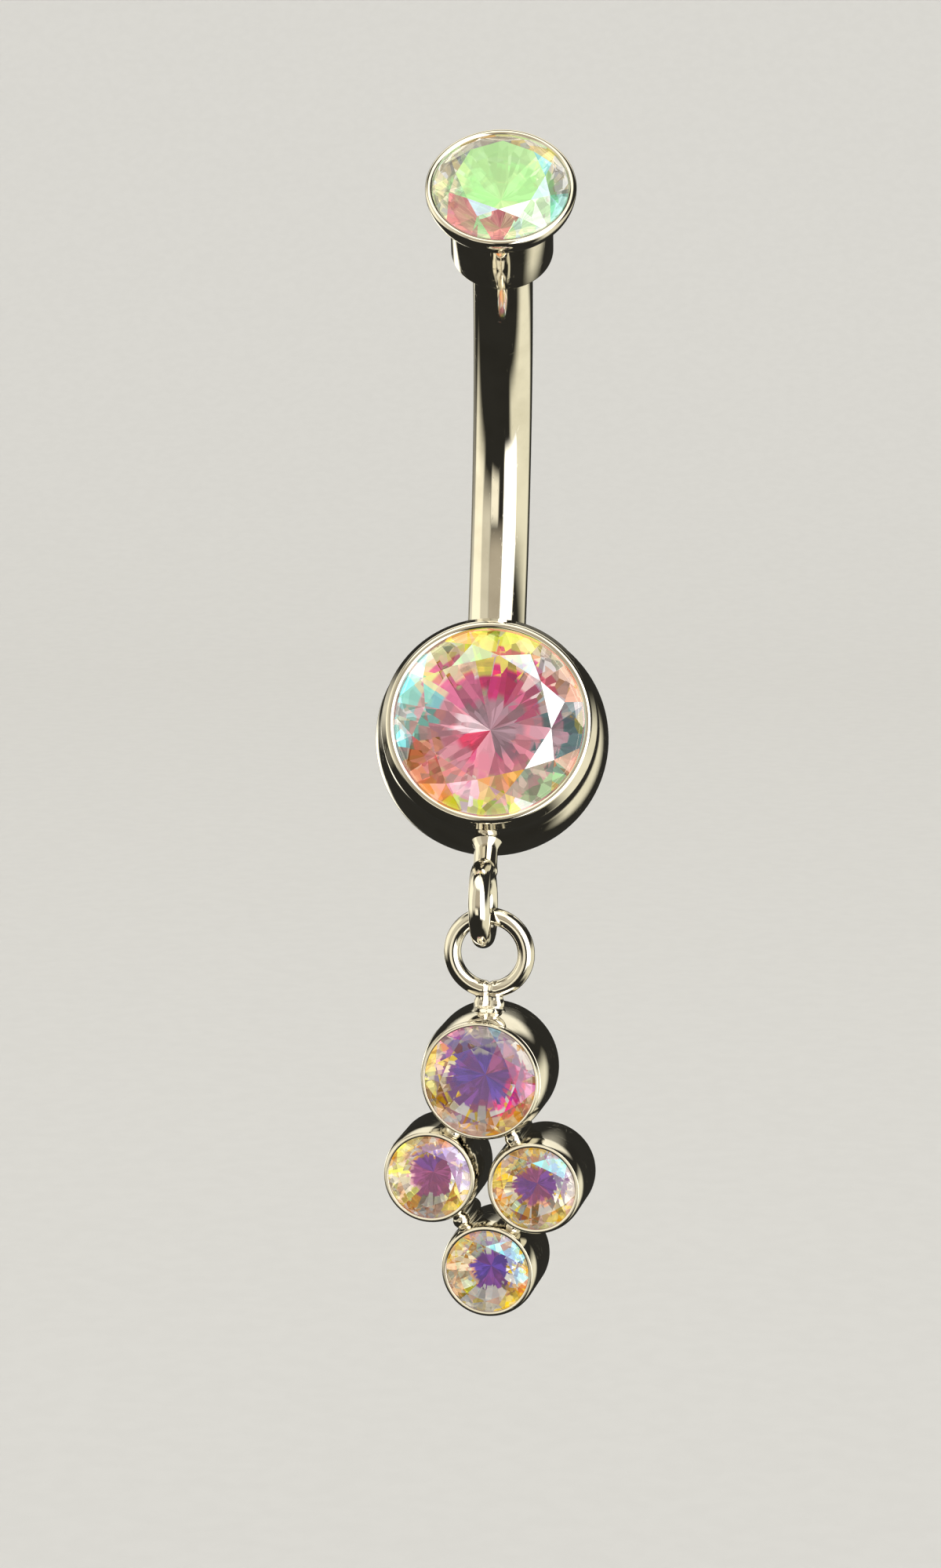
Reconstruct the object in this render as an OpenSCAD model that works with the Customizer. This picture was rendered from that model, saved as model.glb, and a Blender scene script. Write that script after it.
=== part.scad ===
/* [Pose] */
// Backward tilt of the bar and ball from upright, in degrees
tilt = 20.4; // [0:0.2:35]
// Sideways lean of the bar and ball, in degrees
lean = 1.4; // [-4:0.2:4]
// Turn of the hanging drop about the vertical, in degrees
drop_turn = -9; // [-15:1:15]

/* [Bar] */
// Diameter of the curved bar (14 gauge)
bar_d = 1.63; // [1.4:0.01:1.63]
// Radius of the bar's bend, at its centreline
bend_r = 9.75; // [8.5:0.05:12]
// Angle that the bend turns through, from the ball to the top end
bend_angle = 68.2; // [50:0.2:80]
// Diameter of the bore in the bar's top end
bore_d = 1.0; // [0.9:0.02:1.0]
// Depth of the bore in the bar's top end
bore_depth = 2.0; // [1.9:0.1:2.2]

/* [Ball] */
// Diameter of the solid ball at the bar's lower end
ball_d = 6.5; // [6.3:0.1:6.6]
// Outer diameter of the collar that holds the ball's stone
collar_d = 5.94; // [5.9:0.02:6]
// Distance from the ball's centre to the front of the collar
collar_reach = 2.57; // [2.4:0.01:2.8]
// Diameter of the lip that is rolled over the stone
lip_d = 0.28; // [0.24:0.01:0.3]
// Height of the collar's sloping shoulder, up to the front of the lip
shoulder_h = 0.34; // [0.3:0.01:0.4]

/* [Eye] */
// Wire diameter of the fixed eye under the ball
eye_wire_d = 0.6; // [0.5:0.02:0.66]
// Outer diameter of the fixed eye
eye_d = 2.44; // [2.3:0.02:2.6]
// Distance from the ball's centre to the eye's centre
eye_reach = 5.09; // [4.95:0.01:5.3]
// Angle between the eye's stem and the line of the bar, towards the stone
eye_forward = 17; // [10:1:22]
// Turn of the eye about its stem, in degrees
eye_turn = -5; // [-10:1:10]
// Diameter of the eye's stem
stem_d = 0.66; // [0.56:0.02:0.72]
// Diameter of the solder foot where the stem meets the ball
foot_d = 0.8; // [0.74:0.02:1.1]

/* [Top end] */
// Height of the top end, from the bar to its rim
top_h = 2.69; // [2.5:0.01:2.9]
// Diameter of the top end's rim
top_rim_d = 4.0; // [3.96:0.02:4.2]
// Diameter of the cup under the rim
top_cup_d = 2.75; // [2.6:0.01:2.9]
// Height of the bowl that widens from the cup to the rim
top_bowl_h = 0.86; // [0.8:0.02:0.95]
// Diameter of the plain post that goes into the bar
post_d = 0.9; // [0.7:0.02:0.9]
// Length of the post
post_l = 1.8; // [1.2:0.1:1.8]

/* [Drop] */
// Wire diameter of the drop's ring
ring_wire_d = 0.48; // [0.4:0.02:0.5]
// Outer diameter of the drop's ring
ring_d = 2.54; // [2.4:0.02:2.6]
// Outer diameter of the upper cup
upper_cup_d = 3.6; // [3.58:0.01:3.62]
// Outer diameter of the three lower cups
lower_cup_d = 2.69; // [2.67:0.01:2.7]
// Depth of the cups, from back to lip
cup_depth = 2.35; // [2.2:0.05:2.5]
// Radius of the rounded back edge of the cups
cup_back_r = 0.24; // [0.1:0.02:0.3]
// Diameter of the solder seams between the cups
seam_d = 0.5; // [0.46:0.02:0.6]

/* [Fit] */
// Gap between a stone and its setting
stone_gap = 0.03; // [0.02:0.01:0.04]
// Gap between the drop's ring and the eye that it hangs in
hang_gap = 0.05; // [0.03:0.01:0.08]
// Gap between the top end and the bar's end
end_gap = 0.02; // [0.01:0.01:0.05]

/* [Hidden] */
$fn = 96;
steel = "Silver";

// The bar's frame has its origin at the ball's centre. The bar leaves upwards
// along Z, and the ball's stone faces towards negative Y.
ball_r = ball_d / 2;
bar_start = ball_r - 0.1;
bar_root_angle = 12;

// A point of the bar's centreline, and the step from the bar's frame to the part's.
function bend_point(a) = [0, -bend_r * (1 - cos(a)), bar_start + bend_r * sin(a)];
function turn_x(p, a) = [p.x, p.y * cos(a) - p.z * sin(a), p.y * sin(a) + p.z * cos(a)];
function turn_y(p, a) = [p.x * cos(a) + p.z * sin(a), p.y, p.z * cos(a) - p.x * sin(a)];
function placed(p) = turn_y(turn_x(p - bar_middle, -tilt), lean);
bar_middle = bend_point(bend_angle / 2);

// The eye and the drop's ring, by their centrelines. The ring hangs a little
// to one side of the eye's own plane.
eye_wire_r = eye_wire_d / 2;
eye_r = eye_d / 2 - eye_wire_r;
eye_centre = [0, -eye_reach * sin(eye_forward), -eye_reach * cos(eye_forward)];
ring_wire_r = ring_wire_d / 2;
ring_r = ring_d / 2 - ring_wire_r;
ring_shift = 0.17;
ring_split = 10;
hang_height = eye_r - eye_wire_r - ring_wire_r - hang_gap;
pivot = placed(eye_centre) + [ring_shift, 0, -hang_height];

// Centres of the drop's cups, across and up from the centre of its ring.
upper_at = [-0.04, -3.36];
left_at = [-1.46, -6.15];
right_at = [1.46, -6.3];
lower_at = [0.17, -8.73];
cup_front = cup_depth / 2 - 0.09;
seam_front = 0.6;
seam_back = 0.8;

// How far a cup's wall leans in over its stone, and over what height.
upper_lean = 0.18;
upper_lean_h = 1.0;
lower_lean = 0.08;
lower_lean_h = 0.45;

// Stones: girdle radius, rise of the table above the lip, and the lip's cover.
navel_r = 2.72;
navel_rise = 0.55;
navel_cover = 0.17;
top_r = 1.84;
top_rise = 0.42;
top_cover = 0.06;
upper_r = 1.64;
upper_rise = 0.3;
upper_cover = 0.05;
lower_r = 1.225;
lower_rise = 0.22;
lower_cover = 0.04;

// Cut of every stone, as shares of its girdle radius.
cut_sides = 8;
table_share = 0.64;
star_share = 0.78;
crown_share = 0.3;
girdle_share = 0.03;
pavilion_share = 0.86;
tip_share = 0.24;

// Steepest line down a crown, from the tip of a star facet to the girdle.
half_side = 180 / cut_sides;
star_height_share = crown_share * (1 - star_share * cos(half_side)) / (1 - table_share);
crown_slope = star_height_share / (1 - star_share);
tip_depth_share = pavilion_share * (1 - tip_share * cos(half_side));
pavilion_slope = tip_depth_share / (1 - tip_share);

// Puts its children in the bar's frame.
module on_bar() {
    rotate([-tilt, lean, 0]) translate(-bar_middle) children();
}

// Turns children that face up, so that they face towards negative Y.
module facing_front() {
    rotate([90, 0, 0]) children();
}

// Puts children that stand on Z at the bar's top end, in line with it.
module on_bar_end() {
    translate(bend_point(bend_angle)) rotate([bend_angle, 0, 0]) children();
}

// Puts its children in the drop's frame, with the centre of its ring as origin.
module on_drop() {
    translate(pivot) rotate([0, 0, drop_turn]) translate([0, 0, -ring_r]) children();
}

// Puts children that face up in a cup of the drop, with the cup's lip at height zero.
module in_cup(at) {
    translate([at.x, -cup_front, at.y]) facing_front() children();
}

// A ring of round wire about Z.
module wire_ring(centre_r, wire_r) {
    rotate_extrude() translate([centre_r, 0]) circle(wire_r);
}

// Points of a ring about Z, one for each side of the cut, or more.
function ring_points(r, z, count, first) =
    [for (i = [0:count - 1]) [r * cos((i + first) * 360 / count), r * sin((i + first) * 360 / count), z]];

// A round brilliant: its table at height zero and its point down.
module brilliant(r) {
    girdle_z = -crown_share * r;
    girdle_low_z = girdle_z - girdle_share * r;
    points = concat(
        ring_points(table_share * r, 0, cut_sides, 0),
        ring_points(star_share * r, girdle_z + star_height_share * r, cut_sides, 0.5),
        ring_points(r, girdle_z, 4 * cut_sides, 0),
        ring_points(r, girdle_low_z, 4 * cut_sides, 0),
        ring_points(tip_share * r, girdle_low_z - tip_depth_share * r, cut_sides, 0.5),
        [[0, 0, girdle_low_z - pavilion_share * r]]
    );
    hull() polyhedron(points, [for (i = [0:len(points) - 3]) [i, i + 1, i + 2]]);
}

// The hollow round a stone, down from a lip at height zero, open to the front.
module stone_seat(r, rise, cover) {
    seat_r = r + stone_gap;
    mouth_r = r - cover;
    girdle_z = rise - crown_share * r;
    girdle_low_z = girdle_z - girdle_share * r - stone_gap;
    crown_gap = stone_gap * sqrt(1 + crown_slope * crown_slope);
    rotate_extrude() polygon([
        [0, girdle_low_z - pavilion_slope * seat_r - stone_gap],
        [seat_r, girdle_low_z],
        [seat_r, girdle_z + crown_gap - crown_slope * stone_gap],
        [mouth_r, girdle_z + crown_gap + crown_slope * cover],
        [mouth_r, rise + 1],
        [0, rise + 1]
    ]);
}

module curved_bar() {
    translate([0, -bend_r, bar_start]) rotate([90, 0, 90]) rotate([0, 0, -bar_root_angle])
        rotate_extrude(angle = bend_angle + bar_root_angle)
            translate([bend_r, 0]) circle(d = bar_d);
}

// The ball, with its collar, whose shoulder slopes up to the rolled lip.
module stone_ball() {
    lip_r = lip_d / 2;
    lip_ring_r = navel_r - navel_cover + 0.01 + lip_r;
    shoulder_top = collar_reach - lip_r + 0.04;
    sphere(ball_r);
    facing_front() rotate_extrude() {
        polygon([
            [0, 0],
            [collar_d / 2, 0],
            [collar_d / 2, collar_reach - shoulder_h],
            [lip_ring_r + lip_r - 0.04, shoulder_top],
            [0, shoulder_top]
        ]);
        translate([lip_ring_r, collar_reach - lip_r]) circle(lip_r);
    }
}

// The eye, the stem that it stands on and the stem's solder foot.
module fixed_eye() {
    rotate([-eye_forward, 0, 0]) {
        translate([0, 0, -eye_reach]) rotate([0, 0, eye_turn]) rotate([0, 90, 0])
            wire_ring(eye_r, eye_wire_r);
        translate([0, 0, eye_r - eye_reach]) cylinder(h = eye_reach - eye_r - 2, d = stem_d);
        translate([0, 0, -ball_r - 0.1]) cylinder(h = 0.8, d = foot_d);
    }
}

module barbell() {
    color(steel) on_bar() difference() {
        union() {
            curved_bar();
            stone_ball();
            fixed_eye();
        }
        facing_front() translate([0, 0, collar_reach]) stone_seat(navel_r, navel_rise, navel_cover);
        on_bar_end() translate([0, 0, -bore_depth]) cylinder(h = bore_depth + 1, d = bore_d);
    }
}

module navel_stone() {
    color("HotPink") on_bar() facing_front() translate([0, 0, collar_reach + navel_rise])
        brilliant(navel_r);
}

// The top end: post, cup, bowl and rim, with the rim facing up.
module top_setting() {
    rim_r = top_rim_d / 2;
    lip_r = (rim_r - top_r + top_cover) / 2;
    bowl_z = top_h - top_bowl_h;
    bowl_r = top_bowl_h - lip_r;
    color(steel) on_bar() on_bar_end() difference() {
        union() {
            translate([0, 0, -post_l]) cylinder(h = post_l + 1, d = post_d);
            rotate_extrude() {
                translate([0, end_gap]) square([top_cup_d / 2, bowl_z + 0.3 - end_gap]);
                translate([0, bowl_z]) square([rim_r - bowl_r, bowl_r]);
                translate([rim_r - bowl_r, bowl_z + bowl_r]) intersection() {
                    circle(bowl_r);
                    translate([0, -bowl_r]) square(bowl_r);
                }
                translate([rim_r - lip_r, top_h - lip_r]) circle(lip_r);
            }
        }
        translate([0, 0, top_h]) stone_seat(top_r, top_rise, top_cover);
    }
}

module top_stone() {
    color("PaleGreen") on_bar() on_bar_end() translate([0, 0, top_h + top_rise]) brilliant(top_r);
}

// A cup, lip up at height zero: rounded at its back, and leaning in at its lip.
module cup(r, inward, lean_h) {
    wall_arc = (lean_h * lean_h + inward * inward) / (2 * inward);
    rotate_extrude() {
        translate([0, -cup_depth]) square([r - cup_back_r, cup_depth - lean_h]);
        translate([0, cup_back_r - cup_depth]) square([r, cup_depth - lean_h - cup_back_r]);
        translate([r - cup_back_r, cup_back_r - cup_depth]) intersection() {
            circle(cup_back_r);
            square(2 * cup_back_r, center = true);
        }
        intersection() {
            translate([r - wall_arc, -lean_h]) circle(wall_arc);
            translate([0, -lean_h - 0.1]) square([r, lean_h + 0.1]);
        }
    }
}

// A seam of solder along the line where two cups' walls come closest.
module seam(from, from_r, to, to_r) {
    apart = norm(to - from);
    at = from + (to - from) * (apart + from_r - to_r) / (2 * apart);
    translate([at.x, 0, at.y]) {
        translate([0, seam_back, 0]) rotate([90, 0, 0]) cylinder(h = seam_front + seam_back, d = seam_d);
        translate([0, -seam_front, 0]) sphere(d = seam_d);
        translate([0, seam_back, 0]) sphere(d = seam_d);
    }
}

// The ring of the drop, whose two wire ends turn down into beads of solder.
module split_ring() {
    neck_z = upper_at.y + upper_cup_d / 2;
    rotate([90, 0, 0]) rotate([0, 0, ring_split - 90])
        rotate_extrude(angle = 360 - 2 * ring_split) translate([ring_r, 0]) circle(ring_wire_r);
    for (side = [-1, 1]) {
        translate([side * ring_r * sin(ring_split), 0, -ring_r * cos(ring_split)])
            sphere(ring_wire_r + 0.02);
        translate([side * ring_r * sin(ring_split), 0, neck_z - 0.1])
            cylinder(h = -ring_r * cos(ring_split) - neck_z + 0.1, d = 0.4);
        translate([side * 0.2, 0, neck_z + 0.14]) sphere(d = 0.46);
    }
    translate([upper_at.x, 0, neck_z - 0.16]) cylinder(h = 0.22, d1 = 1.1, d2 = 0.7);
}

module drop_frame() {
    upper_cup_r = upper_cup_d / 2;
    lower_cup_r = lower_cup_d / 2;
    color(steel) on_drop() difference() {
        union() {
            split_ring();
            in_cup(upper_at) cup(upper_cup_r, upper_lean, upper_lean_h);
            for (at = [left_at, right_at, lower_at]) in_cup(at) cup(lower_cup_r, lower_lean, lower_lean_h);
            for (at = [left_at, right_at]) {
                seam(upper_at, upper_cup_r, at, lower_cup_r);
                seam(lower_at, lower_cup_r, at, lower_cup_r);
            }
        }
        in_cup(upper_at) stone_seat(upper_r, upper_rise, upper_cover);
        for (at = [left_at, right_at, lower_at]) in_cup(at) stone_seat(lower_r, lower_rise, lower_cover);
    }
}

module drop_stone(at, r, rise, tint) {
    color(tint) on_drop() in_cup(at) translate([0, 0, rise]) brilliant(r);
}

module drop_stone_upper() { drop_stone(upper_at, upper_r, upper_rise, "MediumPurple"); }
module drop_stone_left() { drop_stone(left_at, lower_r, lower_rise, "Plum"); }
module drop_stone_right() { drop_stone(right_at, lower_r, lower_rise, "Orchid"); }
module drop_stone_lower() { drop_stone(lower_at, lower_r, lower_rise, "SlateBlue"); }

barbell();
navel_stone();
top_setting();
top_stone();
drop_frame();
drop_stone_upper();
drop_stone_left();
drop_stone_right();
drop_stone_lower();
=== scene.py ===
"""A navel ring: curved titanium bar, stone-set ball, top end and a hanging drop."""

import logging
import math
import random
from collections.abc import Sequence
from dataclasses import dataclass, field
from enum import Enum

import bpy
from mathutils import Matrix, Vector


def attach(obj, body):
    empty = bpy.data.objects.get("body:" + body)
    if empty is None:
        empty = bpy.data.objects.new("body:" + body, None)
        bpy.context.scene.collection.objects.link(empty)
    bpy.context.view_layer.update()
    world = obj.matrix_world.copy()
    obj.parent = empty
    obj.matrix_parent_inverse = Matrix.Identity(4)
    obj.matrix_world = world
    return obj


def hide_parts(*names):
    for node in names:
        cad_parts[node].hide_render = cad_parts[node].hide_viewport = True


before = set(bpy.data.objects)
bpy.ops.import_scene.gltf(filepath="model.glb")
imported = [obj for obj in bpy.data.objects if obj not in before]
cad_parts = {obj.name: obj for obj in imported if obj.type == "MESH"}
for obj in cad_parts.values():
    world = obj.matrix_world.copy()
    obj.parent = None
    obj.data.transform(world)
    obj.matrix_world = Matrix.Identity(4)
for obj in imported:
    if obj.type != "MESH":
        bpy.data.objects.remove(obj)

MM = 0.001
MERGE_MM = 0.0005
FULL_TURN = 2 * math.pi
QUARTER_TURN = math.pi / 2
WHOLE_RING = 360.0
LATHE_STEPS = 112
BEND_STEPS = 72
WIRE_SIDES = 32
BEAD_SEGMENTS = 24
BEAD_RINGS = 16
POINT_PLANE = 0.1
EASE_SEGMENTS = 3
SHARP_EDGE = 50.0
QUAD = 4
SMOOTHING = 0.5
CRISP_EDGES = 40.0
SOFT_EDGES = 80.0

log = logging.getLogger("navel_ring")

Point = tuple[float, float]
Profile = tuple[Point, ...]
Colour = tuple[float, float, float, float]
Inputs = dict[str | int, object]


class Body(Enum):
    """The three bodies that the part's pieces ride on."""

    BARBELL = "barbell"
    TOP_END = "top_end"
    DROP = "drop"


class Slot(Enum):
    """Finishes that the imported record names."""

    TITANIUM = "polished_titanium"
    ROSE = "rose_stone"
    GREEN = "green_stone"
    VIOLET = "violet_stone"
    PLUM = "plum_stone"
    INDIGO = "indigo_stone"


class Hue(Enum):
    """Colours of the coated stones' facets, as linear light: they tint the stones, and the same colours
    are painted on as glowing glints and reflections.
    """

    WHITE = (1.0, 1.0, 0.98, 1.0)
    CREAM = (0.90, 0.80, 0.56, 1.0)
    LEMON = (0.86, 0.86, 0.20, 1.0)
    GOLD = (0.88, 0.62, 0.03, 1.0)
    OCHRE = (0.60, 0.30, 0.03, 1.0)
    ORANGE = (0.86, 0.26, 0.05, 1.0)
    PEACH = (0.86, 0.44, 0.27, 1.0)
    PINK = (0.80, 0.22, 0.42, 1.0)
    BLUSH = (0.84, 0.44, 0.50, 1.0)
    MAGENTA = (0.72, 0.045, 0.26, 1.0)
    CRIMSON = (0.80, 0.09, 0.20, 1.0)
    PLUM = (0.34, 0.075, 0.22, 1.0)
    VIOLET = (0.20, 0.055, 0.30, 1.0)
    INDIGO = (0.13, 0.055, 0.38, 1.0)
    LILAC = (0.66, 0.58, 0.95, 1.0)
    MAUVE = (0.46, 0.37, 0.41, 1.0)
    PETAL = (0.94, 0.52, 0.62, 1.0)
    SMOKE = (0.50, 0.48, 0.46, 1.0)
    NIGHT = (0.0, 0.0, 0.0, 1.0)
    TEAL = (0.22, 0.36, 0.36, 1.0)
    SAGE = (0.46, 0.52, 0.36, 1.0)
    ICE = (0.66, 0.95, 1.0, 1.0)
    CYAN = (0.30, 0.86, 0.84, 1.0)
    MINT = (0.50, 0.84, 0.46, 1.0)
    GREEN = (0.46, 0.86, 0.30, 1.0)
    LIME = (0.52, 0.76, 0.06, 1.0)


# Where things stand


def turned(axis: str, degrees: float) -> Matrix:
    """A turn about one axis.

    Args:
        axis: "X", "Y" or "Z".
        degrees: How far, by the right hand.

    Returns:
        The turn as a 4x4 matrix.
    """
    return Matrix.Rotation(math.radians(degrees), 4, axis)


@dataclass(frozen=True)
class Stance:
    """How the worn part stands, in millimetres and degrees."""

    tilt: float = 20.4
    lean: float = 1.4
    drop_turn: float = -9.0
    bend_r: float = 9.75
    bend_angle: float = 68.2
    bar_start: float = 3.15
    eye_reach: float = 5.09
    eye_forward: float = 17.0
    eye_turn: float = -5.0
    eye_r: float = 0.92
    eye_wire_r: float = 0.3
    ring_r: float = 1.03
    ring_wire_r: float = 0.24
    ring_shift: float = 0.17
    hang_gap: float = 0.05
    cup_front: float = 1.085

    def bend_point(self, degrees: float) -> Vector:
        """A point of the bar's centreline, in the bar's own frame."""
        a = math.radians(degrees)
        return Vector((0, -self.bend_r * (1 - math.cos(a)), self.bar_start + self.bend_r * math.sin(a)))

    def bar(self) -> Matrix:
        """The bar's frame: its origin is the ball's centre, and the bar leaves along +Z."""
        to_middle = Matrix.Translation(-self.bend_point(self.bend_angle / 2))
        return turned("Y", self.lean) @ turned("X", -self.tilt) @ to_middle

    def ball_front(self) -> Matrix:
        """The frame of the ball's collar: +Z points out of the navel stone."""
        return self.bar() @ turned("X", 90)

    def bend(self) -> Matrix:
        """The frame that the bar is bent round: its axis is +Z, and the bend starts on +X."""
        swap = Matrix(((0, 0, 1, 0), (1, 0, 0, 0), (0, 1, 0, 0), (0, 0, 0, 1)))
        return self.bar() @ Matrix.Translation((0, -self.bend_r, self.bar_start)) @ swap

    def bar_end(self) -> Matrix:
        """The frame of the bar's top end: +Z goes on in the bar's line."""
        end = Matrix.Translation(self.bend_point(self.bend_angle))
        return self.bar() @ end @ turned("X", self.bend_angle)

    def eye(self) -> Matrix:
        """The frame of the eye's stem: the eye hangs along -Z."""
        return self.bar() @ turned("X", -self.eye_forward)

    def pivot(self) -> Vector:
        """Where the drop's ring rests in the eye."""
        a = math.radians(self.eye_forward)
        centre = self.bar() @ Vector((0, -self.eye_reach * math.sin(a), -self.eye_reach * math.cos(a)))
        height = self.eye_r - self.eye_wire_r - self.ring_wire_r - self.hang_gap
        return centre + Vector((self.ring_shift, 0, -height))

    def drop(self) -> Matrix:
        """The drop's frame: its origin is the centre of the drop's ring."""
        down = Matrix.Translation((0, 0, -self.ring_r))
        return Matrix.Translation(self.pivot()) @ turned("Z", self.drop_turn) @ down

    def cup(self, across: float, up: float) -> Matrix:
        """The frame of a cup's lip: +Z points out of its stone."""
        return self.drop() @ Matrix.Translation((across, -self.cup_front, up)) @ turned("X", 90)


# Bench work: short calls round Blender's own operators


def let_go() -> None:
    """Leaves edit mode and lets go of everything."""
    if bpy.context.object and bpy.context.object.mode != "OBJECT":
        bpy.ops.object.mode_set(mode="OBJECT")
    bpy.ops.object.select_all(action="DESELECT")


def pick(piece: bpy.types.Object) -> None:
    """Makes one piece the active one, and the only one that is selected."""
    let_go()
    piece.select_set(True)
    bpy.context.view_layer.objects.active = piece


def open_mesh(piece: bpy.types.Object) -> None:
    """Goes into edit mode on a piece, with all of it selected."""
    pick(piece)
    bpy.ops.object.mode_set(mode="EDIT")
    bpy.ops.mesh.select_all(action="SELECT")


def close_mesh() -> None:
    """Welds doubles, turns the faces outwards and leaves edit mode."""
    bpy.ops.mesh.select_all(action="SELECT")
    bpy.ops.mesh.remove_doubles(threshold=MERGE_MM)
    bpy.ops.mesh.normals_make_consistent(inside=False)
    bpy.ops.object.mode_set(mode="OBJECT")


def arc(centre: Point, radius: float, start: float, stop: float, count: int) -> list[Point]:
    """Points along an arc of a profile.

    Args:
        centre: Centre of the arc, as radius and height.
        radius: Radius of the arc.
        start: First angle, in degrees.
        stop: Last angle, in degrees.
        count: How many points, both ends included.

    Returns:
        The points, in order.
    """
    step = (stop - start) / (count - 1)
    angles = [math.radians(start + i * step) for i in range(count)]
    return [(centre[0] + radius * math.cos(a), centre[1] + radius * math.sin(a)) for a in angles]


def shifted(points: Sequence[Point], height: float, radius: float = 0.0) -> list[Point]:
    """Points of a profile, told from a height and a radius of their own."""
    return [(across + radius, up + height) for across, up in points]


def spun(name: str, profile: Sequence[Point], steps: int = LATHE_STEPS) -> bpy.types.Object:
    """Draws a profile point by point and spins it about Z.

    Args:
        name: Name of the piece.
        profile: Radius and height of each point, in millimetres.
        steps: How many steps the whole turn has.

    Returns:
        The closed piece, in its own frame.
    """
    let_go()
    bpy.ops.mesh.primitive_plane_add(size=POINT_PLANE)
    piece = bpy.context.object
    piece.name = name
    open_mesh(piece)
    bpy.ops.mesh.merge(type="CENTER")
    radius, height = profile[0]
    bpy.ops.transform.translate(value=(radius, 0, height))
    for (r0, z0), (r1, z1) in zip(profile, profile[1:]):
        step = {"value": (r1 - r0, 0, z1 - z0)}
        bpy.ops.mesh.extrude_region_move(TRANSFORM_OT_translate=step)
    bpy.ops.mesh.select_all(action="SELECT")
    bpy.ops.mesh.spin(steps=steps, angle=FULL_TURN, center=(0, 0, 0), axis=(0, 0, 1))
    close_mesh()
    return piece


def wire_arc(name: str, bend_r: float, wire_r: float, angle: float) -> bpy.types.Object:
    """Round wire bent about Z, from +X and by the right hand, with flat ends.

    Args:
        name: Name of the piece.
        bend_r: Radius of the wire's centreline.
        wire_r: Radius of the wire.
        angle: Angle of the bend, in degrees; 360 makes a whole ring.

    Returns:
        The wire, in its own frame.
    """
    let_go()
    bpy.ops.mesh.primitive_circle_add(
        vertices=WIRE_SIDES, radius=wire_r, location=(bend_r, 0, 0), rotation=(QUARTER_TURN, 0, 0)
    )
    piece = bpy.context.object
    piece.name = name
    bpy.ops.object.transform_apply(location=True, rotation=True, scale=True)
    open_mesh(piece)
    bpy.ops.mesh.spin(steps=BEND_STEPS, angle=math.radians(angle), center=(0, 0, 0), axis=(0, 0, -1))
    bpy.ops.mesh.select_all(action="SELECT")
    bpy.ops.mesh.remove_doubles(threshold=MERGE_MM)
    if angle < WHOLE_RING:
        bpy.ops.mesh.select_all(action="DESELECT")
        bpy.ops.mesh.select_mode(type="EDGE")
        bpy.ops.mesh.select_non_manifold()
        bpy.ops.mesh.edge_face_add()
        bpy.ops.mesh.select_mode(type="VERT")
    close_mesh()
    return piece


def bead(name: str, radius: float, at: Sequence[float]) -> bpy.types.Object:
    """A small ball of solder, not yet run into its neighbours.

    Args:
        name: Name of the piece.
        radius: Its radius, in millimetres.
        at: Its centre.

    Returns:
        The ball, with its place in its mesh.
    """
    let_go()
    bpy.ops.mesh.primitive_uv_sphere_add(
        segments=BEAD_SEGMENTS, ring_count=BEAD_RINGS, radius=radius, location=at
    )
    piece = bpy.context.object
    piece.name = name
    bpy.ops.object.transform_apply(location=True, rotation=True, scale=True)
    return piece


def moved(piece: bpy.types.Object, place: Matrix) -> bpy.types.Object:
    """Moves a piece's mesh and leaves its object at the origin.

    Args:
        piece: The piece to move.
        place: The frame that it is moved into.

    Returns:
        The same piece.
    """
    pick(piece)
    piece.matrix_world = place @ piece.matrix_world
    bpy.context.view_layer.update()
    bpy.ops.object.transform_apply(location=True, rotation=True, scale=True)
    return piece


def joined(name: str, parts: Sequence[bpy.types.Object]) -> bpy.types.Object:
    """Joins parts into one piece and names it.

    Args:
        name: Name of the piece.
        parts: The parts, of which the first one takes in the others.

    Returns:
        The joined piece.
    """
    let_go()
    for part in parts:
        part.select_set(True)
    bpy.context.view_layer.objects.active = parts[0]
    bpy.ops.object.join()
    piece = bpy.context.object
    piece.name = name
    return piece


def modified(piece: bpy.types.Object, kind: str, **settings: object) -> bpy.types.Object:
    """Adds a modifier and applies it.

    Args:
        piece: The piece to work on.
        kind: The modifier's type.
        **settings: The modifier's own settings.

    Returns:
        The same piece.
    """
    pick(piece)
    modifier = piece.modifiers.new(name=kind.title(), type=kind)
    for key, value in settings.items():
        setattr(modifier, key, value)
    bpy.ops.object.modifier_apply(modifier=modifier.name)
    return piece


def run_together(piece: bpy.types.Object, grain: float, passes: int) -> bpy.types.Object:
    """Fuses overlapping wire and beads, as solder does, and smooths the joints.

    Args:
        piece: The joined parts, in millimetres.
        grain: Size of the grid that the new surface is made on.
        passes: How many times it is smoothed.

    Returns:
        The same piece with one closed surface.
    """
    modified(piece, "REMESH", mode="VOXEL", voxel_size=grain, use_smooth_shade=True)
    return modified(piece, "SMOOTH", factor=SMOOTHING, iterations=passes)


@dataclass(frozen=True)
class Mounted:
    """What a finished piece needs to be told about the frame."""

    body: Body
    slot: Slot
    nodes: tuple[str, ...]


BARBELL_METAL = Mounted(Body.BARBELL, Slot.TITANIUM, ("barbell",))
TOP_END_METAL = Mounted(Body.TOP_END, Slot.TITANIUM, ("top_setting",))
DROP_METAL = Mounted(Body.DROP, Slot.TITANIUM, ("drop_frame",))


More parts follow.
